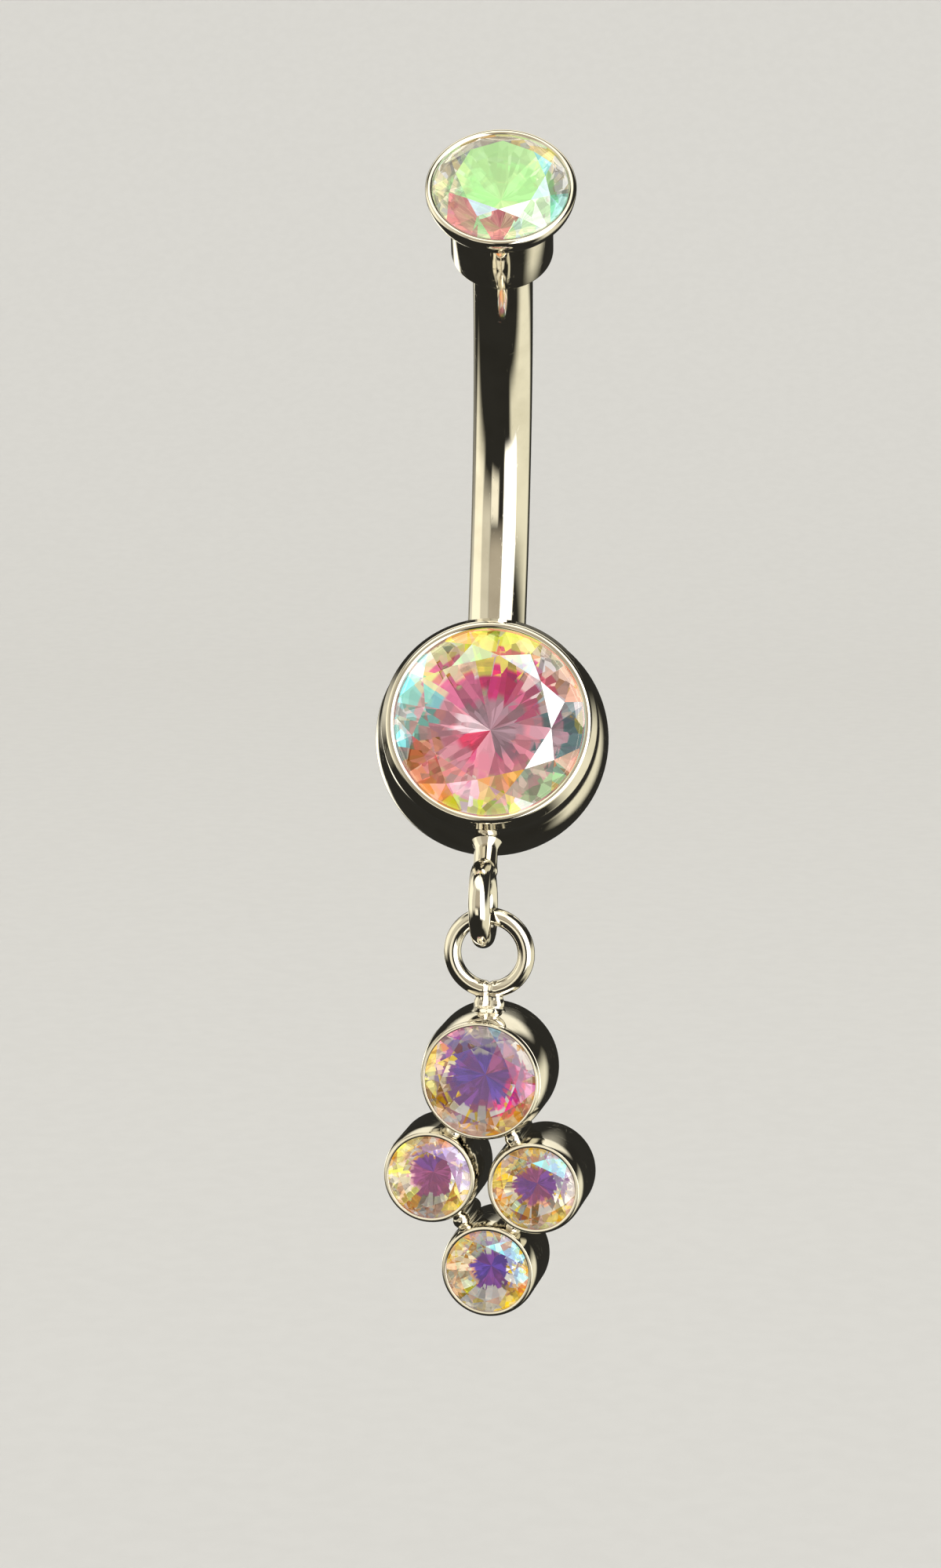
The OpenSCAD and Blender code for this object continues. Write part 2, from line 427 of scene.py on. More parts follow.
def set_in_place(
    piece: bpy.types.Object, place: Matrix, facts: Mounted, smooth: float = CRISP_EDGES
) -> bpy.types.Object:
    """Scales a piece to metres, puts it in its place and fastens it to its body.

    Args:
        piece: The piece, in millimetres, in its own frame.
        place: That frame, in millimetres.
        facts: The body, the finish and the nodes it stands for.
        smooth: Angle below which edges are shaded smooth, or 0 for a faceted piece.

    Returns:
        The finished piece.
    """
    moved(piece, Matrix.Scale(MM, 4) @ place)
    if smooth:
        pick(piece)
        bpy.ops.object.shade_smooth_by_angle(angle=math.radians(smooth))
    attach(piece, facts.body.value)
    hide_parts(*facts.nodes)
    log.info("%s: %d faces on %s", piece.name, len(piece.data.polygons), facts.body.value)
    return piece


# Finishes

# The colour sockets of a Mix node, by number, because its sockets share their names
MIX_SHARE, MIX_FIRST, MIX_SECOND = 0, 6, 7
MIX_COLOUR = 2


@dataclass
class Bench:
    """A node tree, with short calls that fill and link it."""

    tree: bpy.types.NodeTree

    def fill(self, node: bpy.types.Node, inputs: Inputs) -> bpy.types.Node:
        """Sets or links a node's inputs.

        Args:
            node: The node.
            inputs: Values or sockets for its inputs, by name or number.

        Returns:
            The same node.
        """
        for key, value in inputs.items():
            if isinstance(value, bpy.types.NodeSocket):
                self.tree.links.new(value, node.inputs[key])
            else:
                node.inputs[key].default_value = value
        return node

    def add(self, kind: str, inputs: Inputs | None = None, **settings: object) -> bpy.types.Node:
        """Adds a node.

        Args:
            kind: The node's type.
            inputs: Values or sockets for its inputs, by name or number.
            **settings: The node's own settings.

        Returns:
            The node.
        """
        node = self.tree.nodes.new(kind)
        for key, value in settings.items():
            setattr(node, key, value)
        return self.fill(node, inputs or {})

    def group(self, tree: bpy.types.NodeTree, inputs: Inputs) -> bpy.types.Node:
        """Adds a node group, which has its sockets only once it has its tree."""
        return self.fill(self.add("ShaderNodeGroup", node_tree=tree), inputs)

    def math(self, operation: str, *values: object) -> bpy.types.NodeSocket:
        """A Math node's result."""
        node = self.add("ShaderNodeMath", dict(enumerate(values)), operation=operation)
        return node.outputs[0]

    def between(
        self, value: object, low: float, high: float, start: float = 0.0, stop: float = 1.0
    ) -> bpy.types.NodeSocket:
        """Maps a value from one range to another, clamped and eased.

        Args:
            value: The socket that is mapped.
            low: Where the first range starts.
            high: Where it stops.
            start: Where the second range starts.
            stop: Where it stops.

        Returns:
            The mapped value's socket.
        """
        node = self.add(
            "ShaderNodeMapRange",
            {"Value": value, "From Min": low, "From Max": high, "To Min": start, "To Max": stop},
            interpolation_type="SMOOTHSTEP",
        )
        return node.outputs[0]

    def mix(
        self, share: object, first: object, second: object, blend: str = "MIX"
    ) -> bpy.types.NodeSocket:
        """Mixes two colours."""
        inputs = {MIX_SHARE: share, MIX_FIRST: first, MIX_SECOND: second}
        node = self.add("ShaderNodeMix", inputs, data_type="RGBA", blend_type=blend)
        return node.outputs[MIX_COLOUR]

    def shaded(self, colour: object, light: object) -> bpy.types.NodeSocket:
        """Multiplies a colour by a brightness."""
        grey = self.add("ShaderNodeCombineColor", {0: light, 1: light, 2: light})
        return self.mix(1.0, colour, grey.outputs[0], "MULTIPLY")

    def layer(self, name: str) -> bpy.types.NodeSocket:
        """The colour that the mesh's own layer of that name gives."""
        return self.add("ShaderNodeAttribute", attribute_name=name).outputs["Color"]


def new_material(name: str) -> tuple[bpy.types.Material, Bench, bpy.types.Node]:
    """Makes a material with one Principled shader.

    Args:
        name: Name of the material.

    Returns:
        The material, its node tree and its shader.
    """
    material = bpy.data.materials.new(name)
    material.use_nodes = True
    bench = Bench(material.node_tree)
    return material, bench, material.node_tree.nodes["Principled BSDF"]


def new_group(
    name: str, inputs: dict[str, str], outputs: dict[str, str]
) -> tuple[Bench, bpy.types.Node, bpy.types.Node]:
    """Makes a shader node group.

    Args:
        name: Name of the group.
        inputs: Socket type of each input, by name.
        outputs: Socket type of each output, by name.

    Returns:
        The group's tree, its input node and its output node.
    """
    tree = bpy.data.node_groups.new(name, "ShaderNodeTree")
    for side, sockets in (("INPUT", inputs), ("OUTPUT", outputs)):
        for socket, kind in sockets.items():
            tree.interface.new_socket(name=socket, in_out=side, socket_type=kind)
    bench = Bench(tree)
    return bench, bench.add("NodeGroupInput"), bench.add("NodeGroupOutput")


VALUE = "NodeSocketFloat"
VECTOR = "NodeSocketVector"

CLOUD_DETAIL = 3.0
CLOUD_HEIGHT = 0.3
HAIRLINE_DETAIL = 2.0
HAIRLINE_PITCH = 0.3
HAIRLINE_SPAN = (0.66, 0.78)
HAIRLINE_SETS = ((0.4, (1.0, 14.0, 1.0)), (1.9, (12.0, 1.0, 1.0)))


def polish_marks() -> bpy.types.NodeTree:
    """Faint marks of a hand-polished surface: cloudy wipe marks and hairline scratches.

    Returns:
        A group that puts out a cloud mask, a hairline mask and a height.
    """
    bench, given, out = new_group(
        "polish_marks",
        {"Vector": VECTOR, "Cloud Scale": VALUE, "Hairline Scale": VALUE},
        {"Cloud": VALUE, "Hairlines": VALUE, "Height": VALUE},
    )
    where, cloud_scale, hairline_scale = (
        given.outputs[name] for name in ("Vector", "Cloud Scale", "Hairline Scale")
    )
    cloud = bench.add(
        "ShaderNodeTexNoise", {"Vector": where, "Scale": cloud_scale, "Detail": CLOUD_DETAIL}
    )
    lines = []
    for turn, stretch in HAIRLINE_SETS:
        tilt = (turn, HAIRLINE_PITCH, turn)
        laid = bench.add("ShaderNodeMapping", {"Vector": where, "Rotation": tilt, "Scale": stretch})
        line = bench.add(
            "ShaderNodeTexNoise",
            {"Vector": laid.outputs[0], "Scale": hairline_scale, "Detail": HAIRLINE_DETAIL},
        )
        lines.append(bench.between(line.outputs["Fac"], *HAIRLINE_SPAN))
    both = bench.math("MAXIMUM", *lines)
    soft = bench.math("MULTIPLY", cloud.outputs["Fac"], CLOUD_HEIGHT)
    height = bench.math("SUBTRACT", soft, both)
    bench.tree.links.new(cloud.outputs["Fac"], out.inputs["Cloud"])
    bench.tree.links.new(both, out.inputs["Hairlines"])
    bench.tree.links.new(height, out.inputs["Height"])
    return bench.tree


HALF_ROUND = 0.5


def stone_compass() -> bpy.types.NodeTree:
    """Direction and distance of a point from a stone's axis.

    Returns:
        A group that puts out the turn about the axis from 0 to 1, and the reach in girdle radii.
    """
    bench, given, out = new_group("stone_compass", {"Vector": VECTOR}, {"Turn": VALUE, "Reach": VALUE})
    xyz = bench.add("ShaderNodeSeparateXYZ", {"Vector": given.outputs["Vector"]})
    x, y, _ = xyz.outputs
    angle = bench.math("ARCTAN2", y, x)
    turn = bench.math("ADD", bench.math("DIVIDE", angle, FULL_TURN), HALF_ROUND)
    squares = [bench.math("MULTIPLY", side, side) for side in (x, y)]
    reach = bench.math("SQRT", bench.math("ADD", *squares))
    bench.tree.links.new(turn, out.inputs["Turn"])
    bench.tree.links.new(reach, out.inputs["Reach"])
    return bench.tree


# Settings of the painted light on the stones: crisp shards, each facet's own share and the range of
# brightness.
SHARD_SHIFT = 9.0
SHARD_RANDOMNESS = 0.9
SHARD_SHARE = 0.65
FACET_SHARE = 0.45
LIGHT_SPAN = (0.15, 0.9)
SECOND_ABOVE = 0.62
JAG_MIDDLE = 0.5


def painted_sparkle() -> bpy.types.NodeTree:
    """Paints a facet's light as crisp bright and dim shards that point at the stone's middle.

    Returns:
        A group that puts out the painted brightness, a mask of the shards that take a second hue,
        and how far each shard moves the edges between zones.
    """
    bench, given, out = new_group(
        "painted_sparkle",
        dict.fromkeys(("Turn", "Reach", "Seed", "Dimmest", "Round", "Deep"), VALUE),
        dict.fromkeys(("Light", "Second", "Jag"), VALUE),
    )
    turn = bench.math("MULTIPLY", given.outputs["Turn"], given.outputs["Round"])
    reach = bench.math("MULTIPLY", given.outputs["Reach"], given.outputs["Deep"])
    seed = given.outputs["Seed"]
    layer = bench.math("MULTIPLY", seed, SHARD_SHIFT)
    where = bench.add("ShaderNodeCombineXYZ", {0: turn, 1: reach, 2: layer})
    shard = bench.add(
        "ShaderNodeTexVoronoi",
        {"Vector": where.outputs[0], "Scale": 1.0, "Randomness": SHARD_RANDOMNESS},
    )
    bright, second, jag = bench.add("ShaderNodeSeparateColor", {0: shard.outputs["Color"]}).outputs
    bright = bench.math("MULTIPLY", bright, SHARD_SHARE)
    own = bench.math("MULTIPLY", seed, FACET_SHARE)
    low, high = LIGHT_SPAN
    light = bench.add(
        "ShaderNodeMapRange",
        {
            "Value": bench.math("ADD", bright, own),
            "From Min": low,
            "From Max": high,
            "To Min": given.outputs["Dimmest"],
        },
    )
    bench.tree.links.new(light.outputs[0], out.inputs["Light"])
    bench.tree.links.new(bench.math("GREATER_THAN", second, SECOND_ABOVE), out.inputs["Second"])
    bench.tree.links.new(bench.math("SUBTRACT", jag, JAG_MIDDLE), out.inputs["Jag"])
    return bench.tree


@dataclass(frozen=True)
class PolishedMetal:
    """High-polished titanium, warm and pale."""

    name: str = "polished_titanium"
    bright: Colour = (0.86, 0.82, 0.74, 1.0)
    worn: Colour = (0.74, 0.70, 0.62, 1.0)
    gloss: float = 0.035
    wiped: float = 0.10
    cloud_scale: float = 900.0
    hairline_scale: float = 2600.0
    mark_depth: float = 0.0000012
    mark_strength: float = 0.5
    worn_span: Point = (0.35, 0.75)
    wiped_span: Point = (0.4, 0.8)
    hairline_rough: float = 0.12

    def make(self, marks: bpy.types.NodeTree) -> bpy.types.Material:
        """Builds the material.

        Args:
            marks: The polish_marks group.

        Returns:
            The material.
        """
        material, bench, shader = new_material(self.name)
        where = bench.add("ShaderNodeTexCoord")
        worn = bench.group(
            marks,
            {
                "Vector": where.outputs["Object"],
                "Cloud Scale": self.cloud_scale,
                "Hairline Scale": self.hairline_scale,
            },
        )
        cloud, hairlines, height = (worn.outputs[name] for name in ("Cloud", "Hairlines", "Height"))
        colour = bench.mix(bench.between(cloud, *self.worn_span), self.bright, self.worn)
        rough = bench.between(cloud, *self.wiped_span, self.gloss, self.wiped)
        rough = bench.math("ADD", rough, bench.math("MULTIPLY", hairlines, self.hairline_rough))
        bump = bench.add(
            "ShaderNodeBump",
            {"Strength": self.mark_strength, "Distance": self.mark_depth, "Height": height},
        )
        bench.tree.links.new(colour, shader.inputs["Base Color"])
        bench.tree.links.new(rough, shader.inputs["Roughness"])
        bench.tree.links.new(bump.outputs[0], shader.inputs["Normal"])
        shader.inputs["Metallic"].default_value = 1.0
        return material


@dataclass(frozen=True)
class StoneGroups:
    """The node groups that every stone's finish uses."""

    compass: bpy.types.NodeTree
    painted_sparkle: bpy.types.NodeTree


@dataclass(frozen=True)
class StoneFinish:
    """The mirror coating of a stone and the light painted on it, as the hue of each facet.

    Each ring of facets is told anticlockwise from the viewer's right, and its hues are shared
    out evenly round the stone. Stars, kites and rims are the crown's three rings. Heart, bloom
    and skirt are the pavilion's zones, from its point outwards. Each hue is also painted on as
    emitted light, which stands for the stone's glints, highlights and reflections.
    """

    name: str
    table: Hue
    stars: tuple[Hue, ...]
    kites: tuple[Hue, ...]
    rims: tuple[Hue, ...]
    heart: tuple[Hue, ...]
    bloom: tuple[Hue, ...]
    skirt: tuple[Hue, ...]
    # Second hues of some shards, used both as tint and as painted glowing light.
    shards: tuple[Hue, ...]
    # Painted highlights on star facets, as index and strength; then painted glints round the crown, more
    # on the rims, and a painted highlight on the table.
    painted_flashes: tuple[tuple[int, float], ...] = ()
    painted_gleam: tuple[float, ...] = (0.16,)
    painted_rim_gleam: float = 0.0
    painted_table_flash: float = 0.0
    heart_edge: float = 0.5
    bloom_edge: float = 0.57
    # Strength of the pavilion's painted glowing light, as emission.
    painted_glow: float = 0.95
    mirror: float = 0.34
    ragged: float = 0.16
    # Least painted light inside the bloom's edge.
    inner_painted_light: float = 0.5
    tint: float = 0.9
    bending: float = 1.75
    # Painted light of the dimmest shards.
    dimmest_painted_light: float = 0.14
    shards_round: float = 26.0
    shards_deep: float = 4.0
    heart_soft: float = 0.04
    bloom_soft: float = 0.02
    coat_rough: float = 0.02

    def compass(
        self, bench: Bench, groups: StoneGroups, place: Matrix, size: float
    ) -> bpy.types.Node:
        """Adds the nodes that give a point's direction and distance in the stone's own frame.

        Args:
            bench: The material's tree.
            groups: The shared groups.
            place: The stone's frame, in metres.
            size: The girdle's radius, in metres.

        Returns:
            The stone_compass group's node.
        """
        where = bench.add("ShaderNodeTexCoord")
        spot, turn, _ = place.decompose()
        local = bench.add(
            "ShaderNodeMapping",
            {
                "Vector": where.outputs["Object"],
                "Location": spot,
                "Rotation": turn.to_euler(),
                "Scale": (size, size, size),
            },
            vector_type="TEXTURE",
        )
        return bench.group(groups.compass, {"Vector": local.outputs[0]})

    def light(self, bench: Bench, groups: StoneGroups, compass: bpy.types.Node) -> bpy.types.Node:
        """Adds the node that paints the stone's light as shards.

        Args:
            bench: The material's tree.
            groups: The shared groups.
            compass: The stone_compass group's node.

        Returns:
            The node of the painted_sparkle group.
        """
        seed = bench.add("ShaderNodeAttribute", attribute_name="facet_seed").outputs["Fac"]
        return bench.group(
            groups.painted_sparkle,
            {
                "Turn": compass.outputs["Turn"],
                "Reach": compass.outputs["Reach"],
                "Seed": seed,
                "Dimmest": self.dimmest_painted_light,
                "Round": self.shards_round,
                "Deep": self.shards_deep,
            },
        )

    def glass_and_painted_glints(self, groups: StoneGroups, place: Matrix, size: float) -> bpy.types.Material:
        """The clear crown, tinted facet by facet, with glints and highlights painted on as emission.

        Args:
            groups: The shared groups.
            place: The stone's frame, in metres.
            size: The girdle's radius, in metres.

        Returns:
            The material.
        """
        material, bench, shader = new_material(self.name + "_crown")
        compass = self.compass(bench, groups, place, size)
        hue = bench.layer("facet_hue")
        painted_flash = bench.add("ShaderNodeAttribute", attribute_name="facet_painted_flash").outputs["Fac"]
        painted_gleam = bench.add("ShaderNodeAttribute", attribute_name="facet_painted_gleam").outputs["Fac"]
        light, second, _ = self.light(bench, groups, compass).outputs
        # Under a painted highlight the crown's tint is darkened, as if the highlight hid what lies
        # beneath.
        plain = bench.math("SUBTRACT", 1.0, painted_flash)
        hue = bench.mix(bench.math("MULTIPLY", second, plain), hue, bench.layer("facet_shard"))
        # Painted light: each shard's light times the facet's strength, plus its painted highlight, sent
        # out as emission.
        lit = bench.math("ADD", bench.math("MULTIPLY", light, painted_gleam), painted_flash)
        tinted = bench.shaded(bench.mix(self.tint, Hue.WHITE.value, hue), plain)
        bench.tree.links.new(tinted, shader.inputs["Base Color"])
        bench.tree.links.new(bench.shaded(hue, lit), shader.inputs["Emission Color"])
        shader.inputs["Emission Strength"].default_value = 1.0
        shader.inputs["Roughness"].default_value = 0.0
        shader.inputs["Transmission Weight"].default_value = 1.0
        shader.inputs["IOR"].default_value = self.bending
        return material

    def coat_and_painted_glow(self, groups: StoneGroups, place: Matrix, size: float) -> bpy.types.Material:
        """The mirror coating on the pavilion, with a painted glowing light: a heart round the point, a
        bloom round it and a skirt.

        Args:
            groups: The shared groups.
            place: The stone's frame, in metres.
            size: The girdle's radius, in metres.

        Returns:
            The material.
        """
        # A metal mirror coating whose emission paints the light that it throws back.
        material, bench, shader = new_material(self.name + "_coat")
        compass = self.compass(bench, groups, place, size)
        light, second, jag = self.light(bench, groups, compass).outputs
        reach = bench.math("ADD", compass.outputs["Reach"], bench.math("MULTIPLY", jag, self.ragged))
        skirt = bench.mix(second, bench.layer("facet_hue"), bench.layer("facet_shard"))
        near, far = self.bloom_edge - self.bloom_soft, self.bloom_edge + self.bloom_soft
        outer = bench.between(reach, near, far)
        outer = bench.mix(outer, bench.layer("facet_bloom"), skirt)
        # Painted light is kept at least this bright inside the bloom's edge.
        middle = bench.between(reach, far, near, 0.0, self.inner_painted_light)
        near, far = self.heart_edge - self.heart_soft, self.heart_edge + self.heart_soft
        inner = bench.between(reach, far, near)
        colour = bench.mix(inner, outer, bench.layer("facet_heart"))
        light = bench.math("MAXIMUM", light, middle)
        bench.tree.links.new(bench.mix(self.mirror, Hue.NIGHT.value, colour), shader.inputs["Base Color"])
        # Painted glowing light: the zone's hue times the painted shard light, as emission.
        bench.tree.links.new(bench.shaded(colour, light), shader.inputs["Emission Color"])
        shader.inputs["Emission Strength"].default_value = self.painted_glow
        shader.inputs["Metallic"].default_value = 1.0
        shader.inputs["Roughness"].default_value = self.coat_rough
        return material


@dataclass(frozen=True)
class PaleFloor:
    """Matt, pale studio paper."""

    tone: Colour = (0.74, 0.73, 0.70, 1.0)
    fibre: Colour = (0.725, 0.715, 0.685, 1.0)
    grain_scale: float = 900.0
    grain_detail: float = 4.0
    grain_span: Point = (0.3, 0.7)
    rough: float = 0.85

    def make(self) -> bpy.types.Material:
        """Builds the material.

        Returns:
            The material.
        """
        material, bench, shader = new_material("pale_paper")
        where = bench.add("ShaderNodeTexCoord").outputs["Object"]
        grain = bench.add(
            "ShaderNodeTexNoise",
            {"Vector": where, "Scale": self.grain_scale, "Detail": self.grain_detail},
        )
        fibres = bench.between(grain.outputs["Fac"], *self.grain_span)
        bench.tree.links.new(bench.mix(fibres, self.tone, self.fibre), shader.inputs["Base Color"])
        shader.inputs["Roughness"].default_value = self.rough
        return material


# Stones


def facet(first: Vector, second: Vector, third: Vector) -> tuple[Vector, Vector]:
    """The plane through three corners of a facet.

    Args:
        first: One corner.
        second: Another.
        third: The last.

    Returns:
        A point of the plane, and its normal, which points away from the stone.
    """
    normal = (second - first).cross(third - first).normalized()
    if normal.dot(first) < 0:
        normal.negate()
    return first, normal


@dataclass
class BrilliantCut:
    """A round brilliant, in a scale where its girdle's radius is ten."""

    girdle: float = 10.0
    sides: int = 8
    table: float = 6.4
    star: float = 7.8
    crown: float = 3.0
    waist: float = 0.30
    pavilion: float = 8.6
    tip: float = 2.4
    lift: float = 0.10
    blank_sides: int = 96
    blank_share: float = 0.985
    spare: float = 1.0
    cut_threshold: float = 0.0001
    weld: float = 0.002
    facets: list[tuple[Vector, Vector]] = field(default_factory=list)

    def at(self, radius: float, step: float, height: float) -> Vector:
        """A corner: its distance from the axis, its place round the stone and its height."""
        angle = math.radians(360 / self.sides * step)
        return Vector((radius * math.cos(angle), radius * math.sin(angle), height))

    def plan(self) -> None:
        """Works out every facet's plane from the corners that it runs through."""
        half = math.cos(math.radians(180 / self.sides))
        star_fall = self.crown * (1 - self.star / self.girdle * half)
        star_z = star_fall / (1 - self.table / self.girdle) - self.crown
        low = -self.crown - self.waist
        point = Vector((0, 0, low - self.pavilion))
        tip_z = low - self.pavilion * (1 - self.tip / self.girdle * half)
        middle = -self.crown
        shift = Vector((0, 0, self.crown + self.waist / 2))
        corners = (0, 0.5, 1)
        cuts = []
        for i in range(self.sides):
            edge, after = self.at(self.table, i, 0), self.at(self.table, i + 1, 0)
            star = self.at(self.star, i + 0.5, star_z)
            before = self.at(self.star, i - 0.5, star_z)
            rim, between, past = (self.at(self.girdle, i + k, middle + self.lift) for k in corners)
            cuts += [(edge, star, before), (edge, after, star)]
            cuts += [(star, rim, between), (star, between, past)]
            rim, between, past = (self.at(self.girdle, i + k, low - self.lift) for k in corners)
            tip, ahead = self.at(self.tip, i - 0.5, tip_z), self.at(self.tip, i + 0.5, tip_z)
            cuts += [(point, tip, ahead), (ahead, rim, between), (ahead, between, past)]
        for cut in cuts:
            plane, normal = facet(*(corner + shift for corner in cut))
            self.facets.append((plane - shift, normal))

    def cut(self, name: str) -> bpy.types.Object:
        """Cuts the stone out of a round blank, facet by facet.

        Args:
            name: Name of the piece.

        Returns:
            The stone, with its table at height zero and its point down.
        """
        self.plan()
        let_go()
        depth = self.crown + self.waist + self.pavilion + self.spare
        bpy.ops.mesh.primitive_cylinder_add(
            vertices=self.blank_sides,
            radius=self.girdle * self.blank_share,
            depth=depth,
            location=(0, 0, -depth / 2),
        )
        stone = bpy.context.object
        stone.name = name
        bpy.ops.object.transform_apply(location=True, rotation=True, scale=True)
        for plane, normal in self.facets:
            open_mesh(stone)
            bpy.ops.mesh.bisect(
                plane_co=plane,
                plane_no=normal,
                use_fill=True,
                clear_outer=True,
                threshold=self.cut_threshold,
            )
            bpy.ops.object.mode_set(mode="OBJECT")
        open_mesh(stone)
        bpy.ops.mesh.remove_doubles(threshold=self.weld)
        bpy.ops.mesh.normals_make_consistent(inside=False)
        bpy.ops.object.mode_set(mode="OBJECT")
        return stone


COAT_BELOW = -0.05
TABLE_ABOVE = 0.99
STARS_WITHIN = 0.72
KITES_WITHIN = 0.91
STEP_NUDGE = 0.01


def entry(turn: float, ring: Sequence[object]) -> int:
    """Which entry of a ring stands at a turn, where 1 is the whole way round."""
    return round(turn * len(ring) - STEP_NUDGE) % len(ring)


@dataclass(frozen=True)
class FacetHues:
    """What colours one facet, and how strong the highlight and shard glints painted on it are."""

    main: Hue
    heart: Hue
    bloom: Hue
    shard: Hue
    painted_flash: float
    painted_gleam: float


@dataclass(frozen=True)
class Stone:
    """One set stone."""

    name: str
    node: str
    body: Body
    slot: Slot
    lip: Matrix
    girdle_r: float
    rise: float
    finish: StoneFinish
    seed: int
    spin: float = 0.0

    def hues(self, face: bpy.types.MeshPolygon, shard: Hue) -> FacetHues:
        """The hues and the painted highlight of one facet.

        Args:
            face: The facet, in the blank's own scale.
            shard: The second hue, which some shards of the facet take.

        Returns:
            Its main, heart, bloom and shard hues, and the strength of its painted highlight and glints.
        """
        finish = self.finish
        reach = math.hypot(face.center.x, face.center.y) / BrilliantCut.girdle
        turn = (math.atan2(face.center.y, face.center.x) + math.radians(self.spin)) / FULL_TURN
        if face.normal.z < COAT_BELOW:
            rings = (finish.skirt, finish.heart, finish.bloom)
            main, heart, bloom = (ring[entry(turn, ring)] for ring in rings)
            return FacetHues(main, heart, bloom, shard, 0.0, 0.0)
        if face.normal.z > TABLE_ABOVE:
            table = finish.table
            return FacetHues(table, table, table, table, finish.painted_table_flash, 0.0)
        # Painted glints round the crown; star facets may carry a painted highlight and rims more glints.
        painted_gleam = finish.painted_gleam[entry(turn, finish.painted_gleam)]
        painted_flash = 0.0
        if reach < STARS_WITHIN:
            ring = finish.stars
            painted_flash = dict(finish.painted_flashes).get(entry(turn, ring), 0.0)
        elif reach < KITES_WITHIN:
            ring = finish.kites
        else:
            ring = finish.rims
            painted_gleam += finish.painted_rim_gleam
        main = ring[entry(turn, ring)]
        return FacetHues(main, main, main, shard, painted_flash, painted_gleam)

    def dye(self, stone: bpy.types.Object) -> None:
        """Stores the facets' hues, their painted light and chance numbers as layers of the stone's mesh.

        Args:
            stone: The stone, still in the blank's own scale.
        """
        rng = random.Random(self.seed)
        faces = stone.data.polygons
        hues = [self.hues(face, rng.choice(self.finish.shards)) for face in faces]
        layers = stone.data.attributes
        numbers = {
            "facet_seed": [rng.random() for _ in faces],
            "facet_painted_flash": [hue.painted_flash for hue in hues],
            "facet_painted_gleam": [hue.painted_gleam for hue in hues],
        }
        for name, values in numbers.items():
            layers.new(name, "FLOAT", "FACE").data.foreach_set("value", values)
        for name in ("main", "heart", "bloom", "shard"):
            flat = [channel for hue in hues for channel in getattr(hue, name).value]
            layer = "facet_hue" if name == "main" else "facet_" + name
            layers.new(layer, "FLOAT_COLOR", "FACE").data.foreach_set("color", flat)

    def make(self, blank: bpy.types.Object, groups: StoneGroups) -> bpy.types.Object:
        """Copies the cut stone, scales it and sets it in its place.

        Args:
            blank: The cut stone that all stones are copied from.
            groups: The shared node groups.

        Returns:
            The finished stone.
        """
        stone = blank.copy()
        stone.data = blank.data.copy()
        stone.name = self.name
        bpy.context.scene.collection.objects.link(stone)
        self.dye(stone)
        place = self.lip @ Matrix.Translation((0, 0, self.rise))
        metres = Matrix.Scale(MM, 4) @ place @ Matrix.Scale(1 / MM, 4)
        stone.data.materials.clear()
        stone.data.materials.append(self.finish.glass_and_painted_glints(groups, metres, self.girdle_r * MM))
        stone.data.materials.append(self.finish.coat_and_painted_glow(groups, metres, self.girdle_r * MM))
        for face in stone.data.polygons:
            face.material_index = 1 if face.normal.z < COAT_BELOW else 0
        scaled = place @ turned("Z", self.spin) @ Matrix.Scale(self.girdle_r / BrilliantCut.girdle, 4)
        return set_in_place(stone, scaled, Mounted(self.body, self.slot, (self.node,)), smooth=0.0)


# Metal


